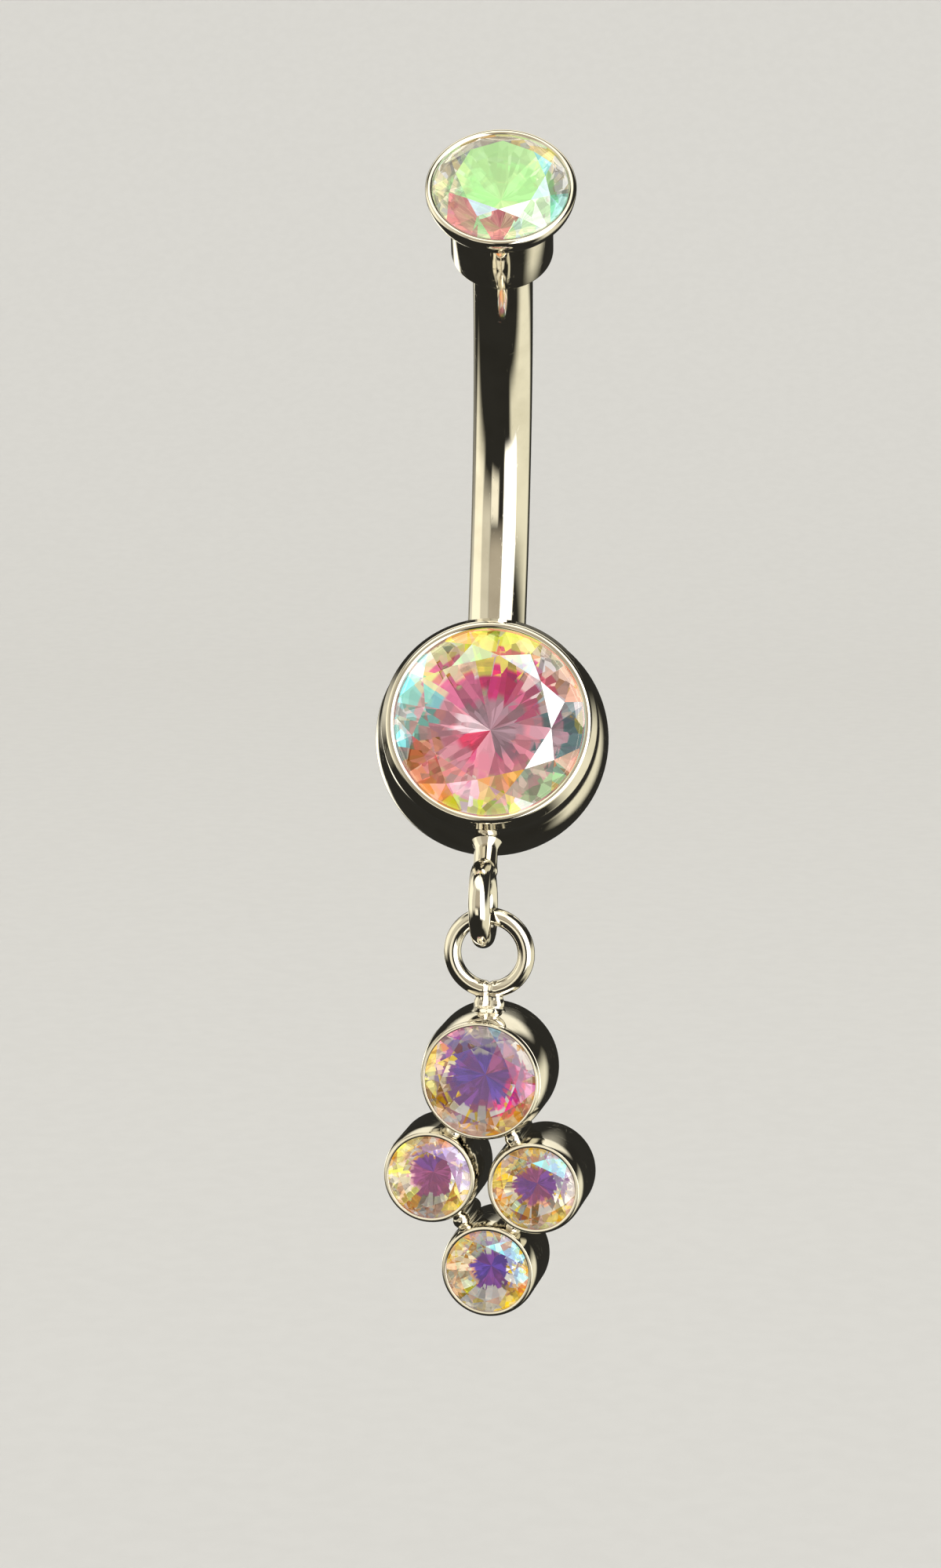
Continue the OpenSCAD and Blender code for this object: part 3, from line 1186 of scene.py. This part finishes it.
@dataclass
class Barbell:
    """The bar, the ball with its collar, and the fixed eye."""

    stance: Stance
    bar_r: float = 0.815
    root_angle: float = 12.0
    bore_r: float = 0.5
    bore_depth: float = 2.0
    bore_ease: float = 0.05
    ball_r: float = 3.25
    collar_r: float = 2.97
    reach: float = 2.57
    lip_r: float = 0.14
    lip_start: float = 12.0
    lip_hang: float = 0.12
    mouth_r: float = 2.56
    shoulder_h: float = 0.34
    shoulder: Profile = ((0.0, -0.08), (-0.006, -0.02), (-0.03, 0.05))
    seat_r: float = 2.75
    seat_top: float = 2.33
    seat_floor: float = 2.2
    well: float = 0.3
    stem_foot: Profile = ((0.0, 0.6), (0.5, 0.6), (0.46, 0.1), (0.4, -0.02), (0.36, -0.1), (0.33, -0.2))
    stem_tip: Profile = ((0.33, 0.3), (0.36, 0.1), (0.30, 0.0), (0.0, 0.0))
    stem_sink: float = 0.05
    solder_grain: float = 0.028
    solder_passes: int = 10

    def bar(self) -> bpy.types.Object:
        """The curved bar, with a bored and eased top end.

        Returns:
            The bar.
        """
        angle = self.stance.bend_angle + self.root_angle
        piece = wire_arc("curved_bar", self.stance.bend_r, self.bar_r, angle)
        moved(piece, turned("Z", -self.root_angle))
        end = math.radians(self.stance.bend_angle)
        along = Vector((-math.sin(end), math.cos(end), 0))
        open_mesh(piece)
        bpy.ops.mesh.select_all(action="DESELECT")
        bpy.ops.object.mode_set(mode="OBJECT")
        cap = max(piece.data.polygons, key=lambda f: (len(f.vertices) > QUAD, f.center.dot(along)))
        cap.select = True
        bpy.ops.object.mode_set(mode="EDIT")
        bpy.ops.mesh.select_mode(type="FACE")
        bpy.ops.mesh.inset(thickness=self.bar_r - self.bore_r, use_even_offset=True)
        bpy.ops.mesh.extrude_region_move(TRANSFORM_OT_translate={"value": -along * self.bore_depth})
        bpy.ops.mesh.select_mode(type="VERT")
        close_mesh()
        modified(
            piece,
            "BEVEL",
            width=self.bore_ease,
            segments=EASE_SEGMENTS,
            limit_method="ANGLE",
            angle_limit=math.radians(SHARP_EDGE),
        )
        return set_in_place(piece, self.stance.bend(), BARBELL_METAL)

    def ball(self) -> bpy.types.Object:
        """The ball and its collar, whose shoulder slopes up to the lip that is rolled over the stone.

        Returns:
            The ball.
        """
        lip_ring = self.mouth_r + self.lip_r
        lip_z = self.reach - self.lip_r
        collar = math.degrees(math.acos(self.collar_r / self.ball_r))
        profile = arc((0, 0), self.ball_r, -90, collar, count=46)
        profile += shifted(self.shoulder, self.reach - self.shoulder_h, self.collar_r)
        profile += arc((lip_ring, lip_z), self.lip_r, self.lip_start, 180, count=16)
        profile += [(self.mouth_r, lip_z - self.lip_hang), (self.seat_r, self.seat_top)]
        profile += [(self.seat_r, self.seat_floor), (self.well, -self.well), (0, -self.well)]
        return set_in_place(spun("stone_ball", profile), self.stance.ball_front(), BARBELL_METAL)

    def eye(self) -> bpy.types.Object:
        """The eye, its stem and the solder that runs out on the ball.

        Returns:
            The eye.
        """
        s = self.stance
        ring = wire_arc("eye_ring", s.eye_r, s.eye_wire_r, WHOLE_RING)
        upright = turned("Z", s.eye_turn) @ turned("Y", 90)
        moved(ring, Matrix.Translation((0, 0, -s.eye_reach)) @ upright)
        profile = shifted(self.stem_foot, -self.ball_r)
        profile += shifted(self.stem_tip, s.eye_r - s.eye_reach - self.stem_sink)
        stem = spun("eye_stem", profile, steps=48)
        piece = joined("fixed_eye", [ring, stem])
        run_together(piece, self.solder_grain, self.solder_passes)
        return set_in_place(piece, s.eye(), BARBELL_METAL, SOFT_EDGES)


@dataclass
class TopEnd:
    """The top end: post, cup, bowl and rolled rim."""

    stance: Stance
    post_r: float = 0.45
    post_l: float = 1.8
    cup_r: float = 1.375
    gap: float = 0.02
    ease: float = 0.06
    rim_r: float = 2.0
    height: float = 2.69
    bowl_z: float = 1.83
    bowl_r: float = 0.75
    bowl_foot: float = 0.05
    lip_r: float = 0.11
    lip_hang: float = 0.05
    mouth_r: float = 1.78
    seat_r: float = 1.87
    seat_drop: float = 0.07
    seat_floor: float = 2.40
    well_z: float = 0.9

    def make(self) -> bpy.types.Object:
        """Spins the setting and puts it on the bar's end.

        Returns:
            The setting.
        """
        ease = self.ease
        bowl_x = self.rim_r - self.bowl_r
        bowl_top = self.height - self.lip_r
        start = math.degrees(math.acos((self.cup_r - bowl_x) / self.bowl_r))
        profile = [(0, -self.post_l), (self.post_r - ease, -self.post_l)]
        profile += [(self.post_r, ease - self.post_l), (self.post_r, self.gap)]
        profile += [(self.cup_r - ease, self.gap)]
        profile += arc((self.cup_r - ease, self.gap + ease), ease, -90, 0, count=4)[1:]
        profile += [(self.cup_r, self.bowl_z - self.bowl_foot)]
        profile += arc((bowl_x, bowl_top), self.bowl_r, -start, 0, count=16)
        profile += arc((self.rim_r - self.lip_r, bowl_top), self.lip_r, 0, 180, count=12)[1:]
        profile += [(self.mouth_r, bowl_top - self.lip_hang), (self.seat_r, bowl_top - self.seat_drop)]
        profile += [(self.seat_r, self.seat_floor), (0, self.well_z)]
        return set_in_place(spun("top_end_setting", profile), self.stance.bar_end(), TOP_END_METAL)


@dataclass(frozen=True)
class Cup:
    """One cup of the drop, with the stone that it holds."""

    name: str
    at: Point
    outer_r: float
    stone_r: float
    cover: float
    inward: float
    lean_h: float
    depth: float = 2.35
    back_r: float = 0.24
    back_flat: float = 0.3
    back_wall: float = 0.4
    lip_ease: float = 0.018
    lip_start: float = 30.0
    lip_hang: float = 0.06
    seat_room: float = 0.03
    seat_top: float = 0.12
    seat_floor: float = 0.3
    well_r: float = 0.2

    def make(self, stance: Stance) -> bpy.types.Object:
        """Spins the cup and puts it in the drop.

        Args:
            stance: How the part stands.

        Returns:
            The cup.
        """
        wall = (self.lean_h**2 + self.inward**2) / (2 * self.inward)
        lean = math.degrees(math.asin(self.lean_h / wall))
        mouth = self.stone_r - self.cover
        seat = self.stone_r + self.seat_room
        lip = self.outer_r - self.inward
        corner = self.outer_r - self.back_r
        ease = self.lip_ease
        profile = [(0, -self.depth), (corner - self.back_flat, -self.depth)]
        profile += arc((corner, self.back_r - self.depth), self.back_r, -90, 0, count=9)
        profile += arc((self.outer_r - wall, -self.lean_h), wall, 0, lean, count=10)[:-1]
        profile += arc((lip - ease, -ease), ease, self.lip_start, 90, count=4)
        profile += arc((mouth + ease, -ease), ease, 90, 180, count=5)
        profile += [(mouth, -self.lip_hang), (seat, -self.seat_top), (seat, -self.seat_floor)]
        profile += [(self.well_r, self.back_wall - self.depth), (0, self.back_wall - self.depth)]
        return set_in_place(spun(self.name, profile, steps=96), stance.cup(*self.at), DROP_METAL)


@dataclass
class Drop:
    """The drop: a split ring on solder beads, four cups and the seams between them."""

    stance: Stance
    split: float = 10.0
    end_swell: float = 0.01
    leg_r: float = 0.2
    leg_sink: float = 0.1
    bead_r: float = 0.23
    bead_x: float = 0.2
    bead_z: float = 0.14
    foot: Profile = ((0.0, -0.3), (0.62, -0.3), (0.55, -0.12), (0.42, 0.0), (0.35, 0.08), (0.0, 0.08))
    solder_grain: float = 0.024
    solder_passes: int = 8
    seam_r: float = 0.25
    seam_front: float = 0.6
    seam_back: float = 0.8
    cups: tuple[Cup, ...] = (
        Cup("drop_cup_upper", (-0.04, -3.36), 1.8, 1.64, 0.1, 0.18, 1.0),
        Cup("drop_cup_left", (-1.46, -6.15), 1.345, 1.225, 0.075, 0.08, 0.45),
        Cup("drop_cup_right", (1.46, -6.3), 1.345, 1.225, 0.075, 0.08, 0.45),
        Cup("drop_cup_lower", (0.17, -8.73), 1.345, 1.225, 0.075, 0.08, 0.45),
    )

    def ring(self) -> bpy.types.Object:
        """The ring, whose wire ends turn down and run into two beads and a flared foot.

        Returns:
            The ring with its beads and foot.
        """
        s = self.stance
        upper = self.cups[0]
        neck = upper.at[1] + upper.outer_r
        ring = wire_arc("wire", s.ring_r, s.ring_wire_r, WHOLE_RING - 2 * self.split)
        moved(ring, turned("X", 90) @ turned("Z", self.split - 90))
        parts = [ring]
        half = math.radians(self.split)
        end_x, end_z = s.ring_r * math.sin(half), -s.ring_r * math.cos(half)
        low = neck - self.leg_sink
        leg_profile = [(0, low), (self.leg_r, low), (self.leg_r, end_z), (0, end_z)]
        for side in (-1, 1):
            swollen = s.ring_wire_r + self.end_swell
            parts.append(bead("wire_end", swollen, (side * end_x, 0, end_z)))
            leg = spun("leg", leg_profile, steps=24)
            parts.append(moved(leg, Matrix.Translation((side * end_x, 0, 0))))
            parts.append(bead("solder_bead", self.bead_r, (side * self.bead_x, 0, neck + self.bead_z)))
        foot = spun("foot", shifted(self.foot, neck), steps=48)
        parts.append(moved(foot, Matrix.Translation((upper.at[0], 0, 0))))
        piece = joined("drop_ring", parts)
        run_together(piece, self.solder_grain, self.solder_passes)
        return set_in_place(piece, s.drop(), DROP_METAL, SOFT_EDGES)

    def seams(self) -> bpy.types.Object:
        """Solder run along the lines where the cups' walls meet.

        Returns:
            The seams, as one piece.
        """
        upper, left, right, lower = self.cups
        r = self.seam_r
        profile = arc((0, -self.seam_back), r, -90, 0, count=7)
        profile += arc((0, self.seam_front), r, 0, 90, count=7)
        parts = []
        for one in (left, right):
            for other in (upper, lower):
                start, stop = Vector(other.at), Vector(one.at)
                apart = (stop - start).length
                share = (apart + other.outer_r - one.outer_r) / (2 * apart)
                spot = start.lerp(stop, share)
                place = Matrix.Translation((spot.x, 0, spot.y)) @ turned("X", 90)
                parts.append(moved(spun("seam", profile, steps=32), place))
        return set_in_place(joined("solder_seams", parts), self.stance.drop(), DROP_METAL, SOFT_EDGES)


# Studio


@dataclass(frozen=True)
class Panel:
    """A bright panel of the studio's tent, as the polish mirrors it.

    Azimuth is 0 towards the viewer and grows to the viewer's right; all angles are degrees.
    """

    azimuth: float
    elevation: float
    half_width: float
    half_height: float
    light: Colour
    softness: float = 5.0


@dataclass(frozen=True)
class Studio:
    """Floor, tent of light, lamp and camera."""

    floor_z: float = -0.042
    floor_half: float = 1.2
    sweep_y: float = 0.45
    sweep_r: float = 0.22
    sweep_segments: int = 24
    sweep_margin: float = 0.01
    wall_h: float = 1.2
    lamp_height: float = 0.45
    lamp_size: float = 0.30
    lamp_power: float = 0.35
    lens: float = 90.53
    sensor: float = 36.0
    elevation: float = 10.1
    azimuth: float = 3.0
    distance: float = 110.0
    clip: Point = (0.005, 20.0)
    right_shift: float = -0.605
    up_shift: float = -1.247
    pale: Colour = (0.93, 0.925, 0.91, 1.0)
    dim: Colour = (0.028, 0.027, 0.023, 1.0)
    panels: tuple[Panel, ...] = (
        Panel(40, 14, 25, 40, (3.2, 3.1, 2.75, 1.0)),
        Panel(90, -22, 52, 24, (0.95, 0.91, 0.70, 1.0), 9.0),
        Panel(-10, 66, 80, 20, (1.7, 1.62, 1.32, 1.0), 8.0),
        Panel(-98, 10, 26, 26, (1.25, 1.18, 0.92, 1.0), 8.0),
        Panel(-22, -9, 15, 8, (1.15, 1.08, 0.86, 1.0), 4.0),
        Panel(-12, 26, 28, 24, (0.52, 0.46, 0.35, 1.0), 8.0),
        Panel(-160, -13, 8, 6, (1.8, 1.72, 1.4, 1.0), 3.0),
        Panel(-126, 6, 20, 12, (0.8, 0.76, 0.62, 1.0), 7.0),
        Panel(-60, 22, 24, 32, (0.75, 0.70, 0.55, 1.0), 8.0),
        Panel(-176, 46, 46, 25, (1.15, 1.1, 0.9, 1.0), 8.0),
    )

    def floor(self) -> bpy.types.Object:
        """A pale floor that sweeps up into a wall far behind the part.

        Returns:
            The floor.
        """
        let_go()
        depth = self.floor_half + self.sweep_y
        bpy.ops.mesh.primitive_plane_add(size=2 * self.floor_half, location=(0, 0, self.floor_z))
        floor = bpy.context.object
        floor.name = "studio_floor"
        floor.scale.y = depth / (2 * self.floor_half)
        floor.location.y = self.sweep_y - depth / 2
        bpy.ops.object.transform_apply(location=True, rotation=True, scale=True)
        pick(floor)
        back = self.sweep_y - self.sweep_margin
        for edge in floor.data.edges:
            edge.select = min(floor.data.vertices[i].co.y for i in edge.vertices) > back
        for vertex in floor.data.vertices:
            vertex.select = vertex.co.y > back
        for face in floor.data.polygons:
            face.select = False
        bpy.ops.object.mode_set(mode="EDIT")
        bpy.ops.mesh.extrude_region_move(TRANSFORM_OT_translate={"value": (0, 0, self.wall_h)})
        bpy.ops.object.mode_set(mode="OBJECT")
        modified(
            floor,
            "BEVEL",
            width=self.sweep_r,
            segments=self.sweep_segments,
            limit_method="ANGLE",
            use_clamp_overlap=True,
        )
        bpy.ops.object.shade_smooth()
        floor.visible_glossy = False
        floor.visible_transmission = False
        floor.data.materials.append(PaleFloor().make())
        return floor

    def lamp(self) -> bpy.types.Object:
        """A soft lamp overhead, which gives the floor its shadow.

        Returns:
            The lamp.
        """
        light = bpy.data.lights.new("overhead_lamp", "AREA")
        light.size = self.lamp_size
        light.energy = self.lamp_power
        lamp = bpy.data.objects.new("overhead_lamp", light)
        bpy.context.scene.collection.objects.link(lamp)
        lamp.location = (0, 0, self.lamp_height)
        lamp.visible_camera = False
        lamp.visible_glossy = False
        return lamp

    def camera(self, ball: Vector) -> bpy.types.Object:
        """The camera, at the photograph's viewing angle.

        Args:
            ball: The ball's centre, in millimetres.

        Returns:
            The camera.
        """
        turn = Matrix.Rotation(math.radians(self.azimuth), 3, "Z")
        e = math.radians(self.elevation)
        right = turn @ Vector((1, 0, 0))
        ahead = turn @ Vector((0, math.cos(e), -math.sin(e)))
        up = turn @ Vector((0, math.sin(e), math.cos(e)))
        spot = ball + right * self.right_shift + up * self.up_shift - ahead * self.distance
        data = bpy.data.cameras.new("photo_camera")
        data.lens = self.lens
        data.sensor_width = self.sensor
        data.clip_start, data.clip_end = self.clip
        camera = bpy.data.objects.new("photo_camera", data)
        bpy.context.scene.collection.objects.link(camera)
        axes = Matrix((right, up, -ahead)).transposed().to_4x4()
        camera.matrix_world = Matrix.Translation(spot * MM) @ axes
        bpy.context.scene.camera = camera
        return camera

    def panel(
        self, bench: Bench, azimuth: object, elevation: object, panel: Panel
    ) -> bpy.types.NodeSocket:
        """Adds one panel of the tent.

        Args:
            bench: The world's tree.
            azimuth: The ray's azimuth, in radians.
            elevation: Its elevation, in radians.
            panel: The panel.

        Returns:
            The panel's light along the ray.
        """
        wide, high, soft = panel.half_width, panel.half_height, panel.softness
        edges = [math.cos(math.radians(angle)) for angle in (wide + soft, max(wide - soft, 0))]
        turn = bench.math("SUBTRACT", azimuth, math.radians(panel.azimuth))
        across = bench.between(bench.math("COSINE", turn), *edges)
        edges = [math.radians(angle) for angle in (high + soft, max(high - soft, 0))]
        rise = bench.math("SUBTRACT", elevation, math.radians(panel.elevation))
        along = bench.between(bench.math("ABSOLUTE", rise), *edges)
        return bench.shaded(panel.light, bench.math("MULTIPLY", across, along))

    def world(self) -> None:
        """A plain room: pale where it lights the floor, a tent of panels where the polish mirrors it."""
        world = bpy.data.worlds.new("studio_room")
        bpy.context.scene.world = world
        world.use_nodes = True
        bench = Bench(world.node_tree)
        ray = bench.add("ShaderNodeTexCoord").outputs["Generated"]
        x, y, z = bench.add("ShaderNodeSeparateXYZ", {"Vector": ray}).outputs
        azimuth = bench.math("ARCTAN2", x, bench.math("MULTIPLY", y, -1.0))
        elevation = bench.math("ARCSINE", z)
        tent = self.dim
        for panel in self.panels:
            tent = bench.mix(1.0, tent, self.panel(bench, azimuth, elevation, panel), "LIGHTEN")
        path = bench.add("ShaderNodeLightPath")
        rays = (path.outputs[name] for name in ("Is Glossy Ray", "Is Transmission Ray"))
        colour = bench.mix(bench.math("MAXIMUM", *rays), self.pale, tent)
        bench.tree.links.new(colour, world.node_tree.nodes["Background"].inputs["Color"])
        bpy.context.scene.view_settings.view_transform = "Standard"

    def make(self, ball: Vector) -> None:
        """Builds the studio."""
        self.camera(ball)
        self.world()
        self.floor()
        self.lamp()


# The navel ring

PALE_SKIRT = (Hue.WHITE, Hue.SMOKE, Hue.CREAM, Hue.SMOKE)

ROSE_FINISH = StoneFinish(
    "rose_stone",
    table=Hue.PETAL,
    stars=(Hue.WHITE, Hue.ICE, Hue.MINT, Hue.CREAM, Hue.SAGE, Hue.PEACH, Hue.GOLD, Hue.WHITE),
    kites=(Hue.TEAL, Hue.PEACH, Hue.LEMON, Hue.CREAM, Hue.SAGE, Hue.PEACH, Hue.LEMON, Hue.MINT),
    rims=(Hue.TEAL, Hue.PEACH, Hue.CREAM, Hue.LEMON, Hue.LEMON, Hue.GOLD, Hue.CYAN, Hue.CYAN,
          Hue.CYAN, Hue.CYAN, Hue.PEACH, Hue.GOLD, Hue.LIME, Hue.LEMON, Hue.MINT, Hue.PEACH),
    heart=(Hue.MAUVE, Hue.PINK, Hue.MAUVE, Hue.BLUSH, Hue.MAUVE, Hue.PINK, Hue.MAUVE, Hue.BLUSH,
           Hue.WHITE, Hue.MAGENTA, Hue.CRIMSON, Hue.PINK, Hue.BLUSH, Hue.PINK, Hue.MAUVE, Hue.PEACH),
    bloom=(Hue.BLUSH, Hue.PINK, Hue.MAGENTA, Hue.PINK, Hue.BLUSH, Hue.BLUSH, Hue.BLUSH, Hue.BLUSH),
    skirt=(Hue.TEAL, Hue.WHITE, Hue.LEMON, Hue.CREAM, Hue.CYAN, Hue.PEACH, Hue.LIME, Hue.MINT),
    shards=(Hue.CREAM, Hue.SMOKE, Hue.LEMON, Hue.OCHRE, Hue.WHITE, Hue.SAGE),
    painted_flashes=((0, 0.95), (1, 0.6), (2, 0.35), (7, 0.9)),
    painted_gleam=(0.1, 0.2, 0.4, 0.12, 0.12, 0.15, 0.5, 0.25),
    painted_rim_gleam=0.5,
    heart_edge=0.34,
    bloom_edge=0.57,
    inner_painted_light=0.4,
)
GREEN_FINISH = StoneFinish(
    "green_stone",
    table=Hue.GREEN,
    stars=(Hue.CYAN, Hue.GOLD, Hue.CREAM, Hue.CREAM, Hue.SAGE, Hue.LILAC, Hue.WHITE, Hue.ICE),
    kites=(Hue.SMOKE, Hue.GOLD, Hue.CREAM, Hue.CREAM, Hue.SMOKE, Hue.CRIMSON, Hue.CRIMSON, Hue.WHITE),
    rims=(Hue.SMOKE, Hue.SMOKE, Hue.GOLD, Hue.CREAM, Hue.CREAM, Hue.ORANGE, Hue.CREAM, Hue.SMOKE,
          Hue.SMOKE, Hue.CREAM, Hue.CRIMSON, Hue.CRIMSON, Hue.PINK, Hue.LILAC, Hue.WHITE, Hue.CYAN),
    heart=(Hue.MINT, Hue.SAGE, Hue.MINT, Hue.CREAM),
    bloom=(Hue.MINT, Hue.SAGE),
    skirt=PALE_SKIRT,
    shards=(Hue.WHITE, Hue.CREAM, Hue.SMOKE, Hue.SAGE),
    painted_flashes=((0, 0.4), (5, 0.45), (6, 0.7), (7, 0.7)),
    painted_table_flash=0.56,
    painted_gleam=(0.15, 0.2, 0.15, 0.1, 0.05, 0.3, 0.3, 0.4),
)
VIOLET_FINISH = StoneFinish(
    "violet_stone",
    table=Hue.WHITE,
    stars=(Hue.MAGENTA, Hue.SMOKE, Hue.SAGE, Hue.BLUSH, Hue.PEACH, Hue.PLUM, Hue.PEACH, Hue.MAGENTA),
    kites=(Hue.MAGENTA, Hue.CREAM, Hue.SAGE, Hue.PINK, Hue.LEMON, Hue.PEACH, Hue.PEACH, Hue.GOLD),
    rims=(Hue.CRIMSON, Hue.CREAM, Hue.WHITE, Hue.CYAN, Hue.PINK, Hue.PINK, Hue.ORANGE, Hue.GOLD,
          Hue.GOLD, Hue.OCHRE, Hue.CREAM, Hue.PEACH, Hue.LEMON, Hue.GOLD, Hue.ORANGE, Hue.ORANGE),
    heart=(Hue.VIOLET, Hue.PLUM, Hue.INDIGO, Hue.VIOLET, Hue.INDIGO, Hue.VIOLET, Hue.VIOLET, Hue.INDIGO),
    bloom=(Hue.MAGENTA, Hue.VIOLET, Hue.SMOKE, Hue.INDIGO, Hue.VIOLET, Hue.VIOLET, Hue.PLUM, Hue.MAGENTA),
    skirt=PALE_SKIRT,
    shards=(Hue.CREAM, Hue.OCHRE, Hue.GOLD, Hue.OCHRE, Hue.SMOKE),
    painted_gleam=(0.35, 0.2, 0.15, 0.3, 0.3, 0.2, 0.35, 0.45),
    heart_edge=0.46,
    bloom_edge=0.56,
)
PLUM_LEFT_FINISH = StoneFinish(
    "plum_stone_left",
    table=Hue.WHITE,
    stars=(Hue.LILAC, Hue.LILAC, Hue.CREAM, Hue.LEMON, Hue.PEACH, Hue.PEACH, Hue.PEACH, Hue.GOLD),
    kites=(Hue.LILAC, Hue.LILAC, Hue.CREAM, Hue.LEMON, Hue.LEMON, Hue.PEACH, Hue.PEACH, Hue.GOLD),
    rims=(Hue.LILAC, Hue.LILAC, Hue.WHITE, Hue.PEACH, Hue.LEMON, Hue.LEMON, Hue.LIME, Hue.LEMON,
          Hue.GOLD, Hue.CREAM, Hue.SMOKE, Hue.PEACH, Hue.CREAM, Hue.LEMON, Hue.LIME, Hue.GOLD),
    heart=(Hue.PLUM, Hue.VIOLET, Hue.PLUM, Hue.PLUM),
    bloom=(Hue.PLUM, Hue.OCHRE, Hue.BLUSH, Hue.PLUM),
    skirt=PALE_SKIRT,
    shards=(Hue.LEMON, Hue.CREAM, Hue.OCHRE, Hue.WHITE),
    painted_gleam=(0.3, 0.6, 0.2, 0.5, 0.3, 0.15, 0.2, 0.5),
    heart_edge=0.44,
    bloom_edge=0.5,
)
PLUM_RIGHT_FINISH = StoneFinish(
    "plum_stone_right",
    table=Hue.WHITE,
    stars=(Hue.MINT, Hue.CYAN, Hue.MINT, Hue.GOLD, Hue.PEACH, Hue.PLUM, Hue.PEACH, Hue.CREAM),
    kites=(Hue.CREAM, Hue.CYAN, Hue.MINT, Hue.LEMON, Hue.ORANGE, Hue.CREAM, Hue.PEACH, Hue.GOLD),
    rims=(Hue.PEACH, Hue.WHITE, Hue.CYAN, Hue.ICE, Hue.GOLD, Hue.GOLD, Hue.LEMON, Hue.GOLD,
          Hue.PEACH, Hue.CREAM, Hue.PEACH, Hue.CREAM, Hue.OCHRE, Hue.LEMON, Hue.GOLD, Hue.PEACH),
    heart=(Hue.VIOLET, Hue.PLUM, Hue.VIOLET, Hue.PLUM),
    bloom=(Hue.VIOLET, Hue.OCHRE, Hue.PLUM, Hue.PEACH),
    skirt=PALE_SKIRT,
    shards=(Hue.CREAM, Hue.GOLD, Hue.OCHRE, Hue.SMOKE),
    painted_flashes=((1, 0.75),),
    painted_gleam=(0.15, 0.7, 0.25, 0.45, 0.25, 0.15, 0.2, 0.35),
    heart_edge=0.42,
    bloom_edge=0.48,
)
INDIGO_FINISH = StoneFinish(
    "indigo_stone",
    table=Hue.WHITE,
    stars=(Hue.ICE, Hue.CYAN, Hue.MINT, Hue.SAGE, Hue.PEACH, Hue.PEACH, Hue.PEACH, Hue.SMOKE),
    kites=(Hue.CYAN, Hue.CYAN, Hue.MINT, Hue.LEMON, Hue.PEACH, Hue.PEACH, Hue.CREAM, Hue.GOLD),
    rims=(Hue.WHITE, Hue.CYAN, Hue.CYAN, Hue.MINT, Hue.CREAM, Hue.PEACH, Hue.LEMON, Hue.GOLD,
          Hue.PEACH, Hue.PEACH, Hue.PEACH, Hue.CREAM, Hue.OCHRE, Hue.GOLD, Hue.GOLD, Hue.ORANGE),
    heart=(Hue.INDIGO, Hue.VIOLET, Hue.INDIGO, Hue.VIOLET),
    bloom=(Hue.INDIGO, Hue.SAGE, Hue.PEACH, Hue.VIOLET),
    skirt=PALE_SKIRT,
    shards=(Hue.CREAM, Hue.GOLD, Hue.OCHRE, Hue.SMOKE),
    painted_flashes=((1, 0.6),),
    painted_gleam=(0.35, 0.65, 0.3, 0.25, 0.2, 0.15, 0.15, 0.45),
    heart_edge=0.4,
    bloom_edge=0.46,
)


def sub_stones(barbell: Barbell, top_end: TopEnd, drop: Drop) -> list[Stone]:
    """The six set stones, each with its place and finish.

    Args:
        barbell: Holds the navel stone in its ball.
        top_end: Holds the top stone.
        drop: Holds the four stones in its cups.

    Returns:
        The stones, not yet made.
    """
    stance = drop.stance
    front = stance.ball_front() @ Matrix.Translation((0, 0, barbell.reach))
    top = stance.bar_end() @ Matrix.Translation((0, 0, top_end.height))
    upper, left, right, lower = drop.cups
    stones = [
        Stone(
            "navel_brilliant",
            "navel_stone",
            Body.BARBELL,
            Slot.ROSE,
            front,
            girdle_r=2.72,
            rise=0.55,
            finish=ROSE_FINISH,
            seed=3,
            spin=-8.0,
        ),
        Stone(
            "top_brilliant",
            "top_stone",
            Body.TOP_END,
            Slot.GREEN,
            top,
            girdle_r=1.84,
            rise=0.42,
            finish=GREEN_FINISH,
            seed=5,
        ),
    ]
    for name, node, slot, cup, rise, finish, seed in (
        ("upper_brilliant", "drop_stone_upper", Slot.VIOLET, upper, 0.3, VIOLET_FINISH, 7),
        ("left_brilliant", "drop_stone_left", Slot.PLUM, left, 0.22, PLUM_LEFT_FINISH, 11),
        ("right_brilliant", "drop_stone_right", Slot.PLUM, right, 0.22, PLUM_RIGHT_FINISH, 13),
        ("lower_brilliant", "drop_stone_lower", Slot.INDIGO, lower, 0.22, INDIGO_FINISH, 17),
    ):
        lip = stance.cup(*cup.at)
        stones.append(Stone(name, node, Body.DROP, slot, lip, cup.stone_r, rise, finish, seed))
    return stones


def main() -> None:
    """Builds the navel ring, dresses it and sets up the studio."""
    logging.basicConfig(level=logging.INFO, format="%(name)s: %(message)s")
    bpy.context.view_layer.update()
    stance = Stance()
    metal = PolishedMetal().make(polish_marks())
    groups = StoneGroups(stone_compass(), painted_sparkle())
    barbell, top_end, drop = Barbell(stance), TopEnd(stance), Drop(stance)
    pieces = [barbell.bar(), barbell.ball(), barbell.eye(), top_end.make(), drop.ring(), drop.seams()]
    pieces += [cup.make(stance) for cup in drop.cups]
    for piece in pieces:
        piece.data.materials.clear()
        piece.data.materials.append(metal)
    blank = BrilliantCut().cut("stone_blank")
    for stone in sub_stones(barbell, top_end, drop):
        stone.make(blank, groups)
    bpy.data.objects.remove(blank)
    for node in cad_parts.values():
        node.data.materials.clear()
        node.data.materials.append(metal)
    Studio().make(stance.bar() @ Vector((0, 0, 0)))
    bpy.context.view_layer.update()


if __name__ == "__main__":
    main()
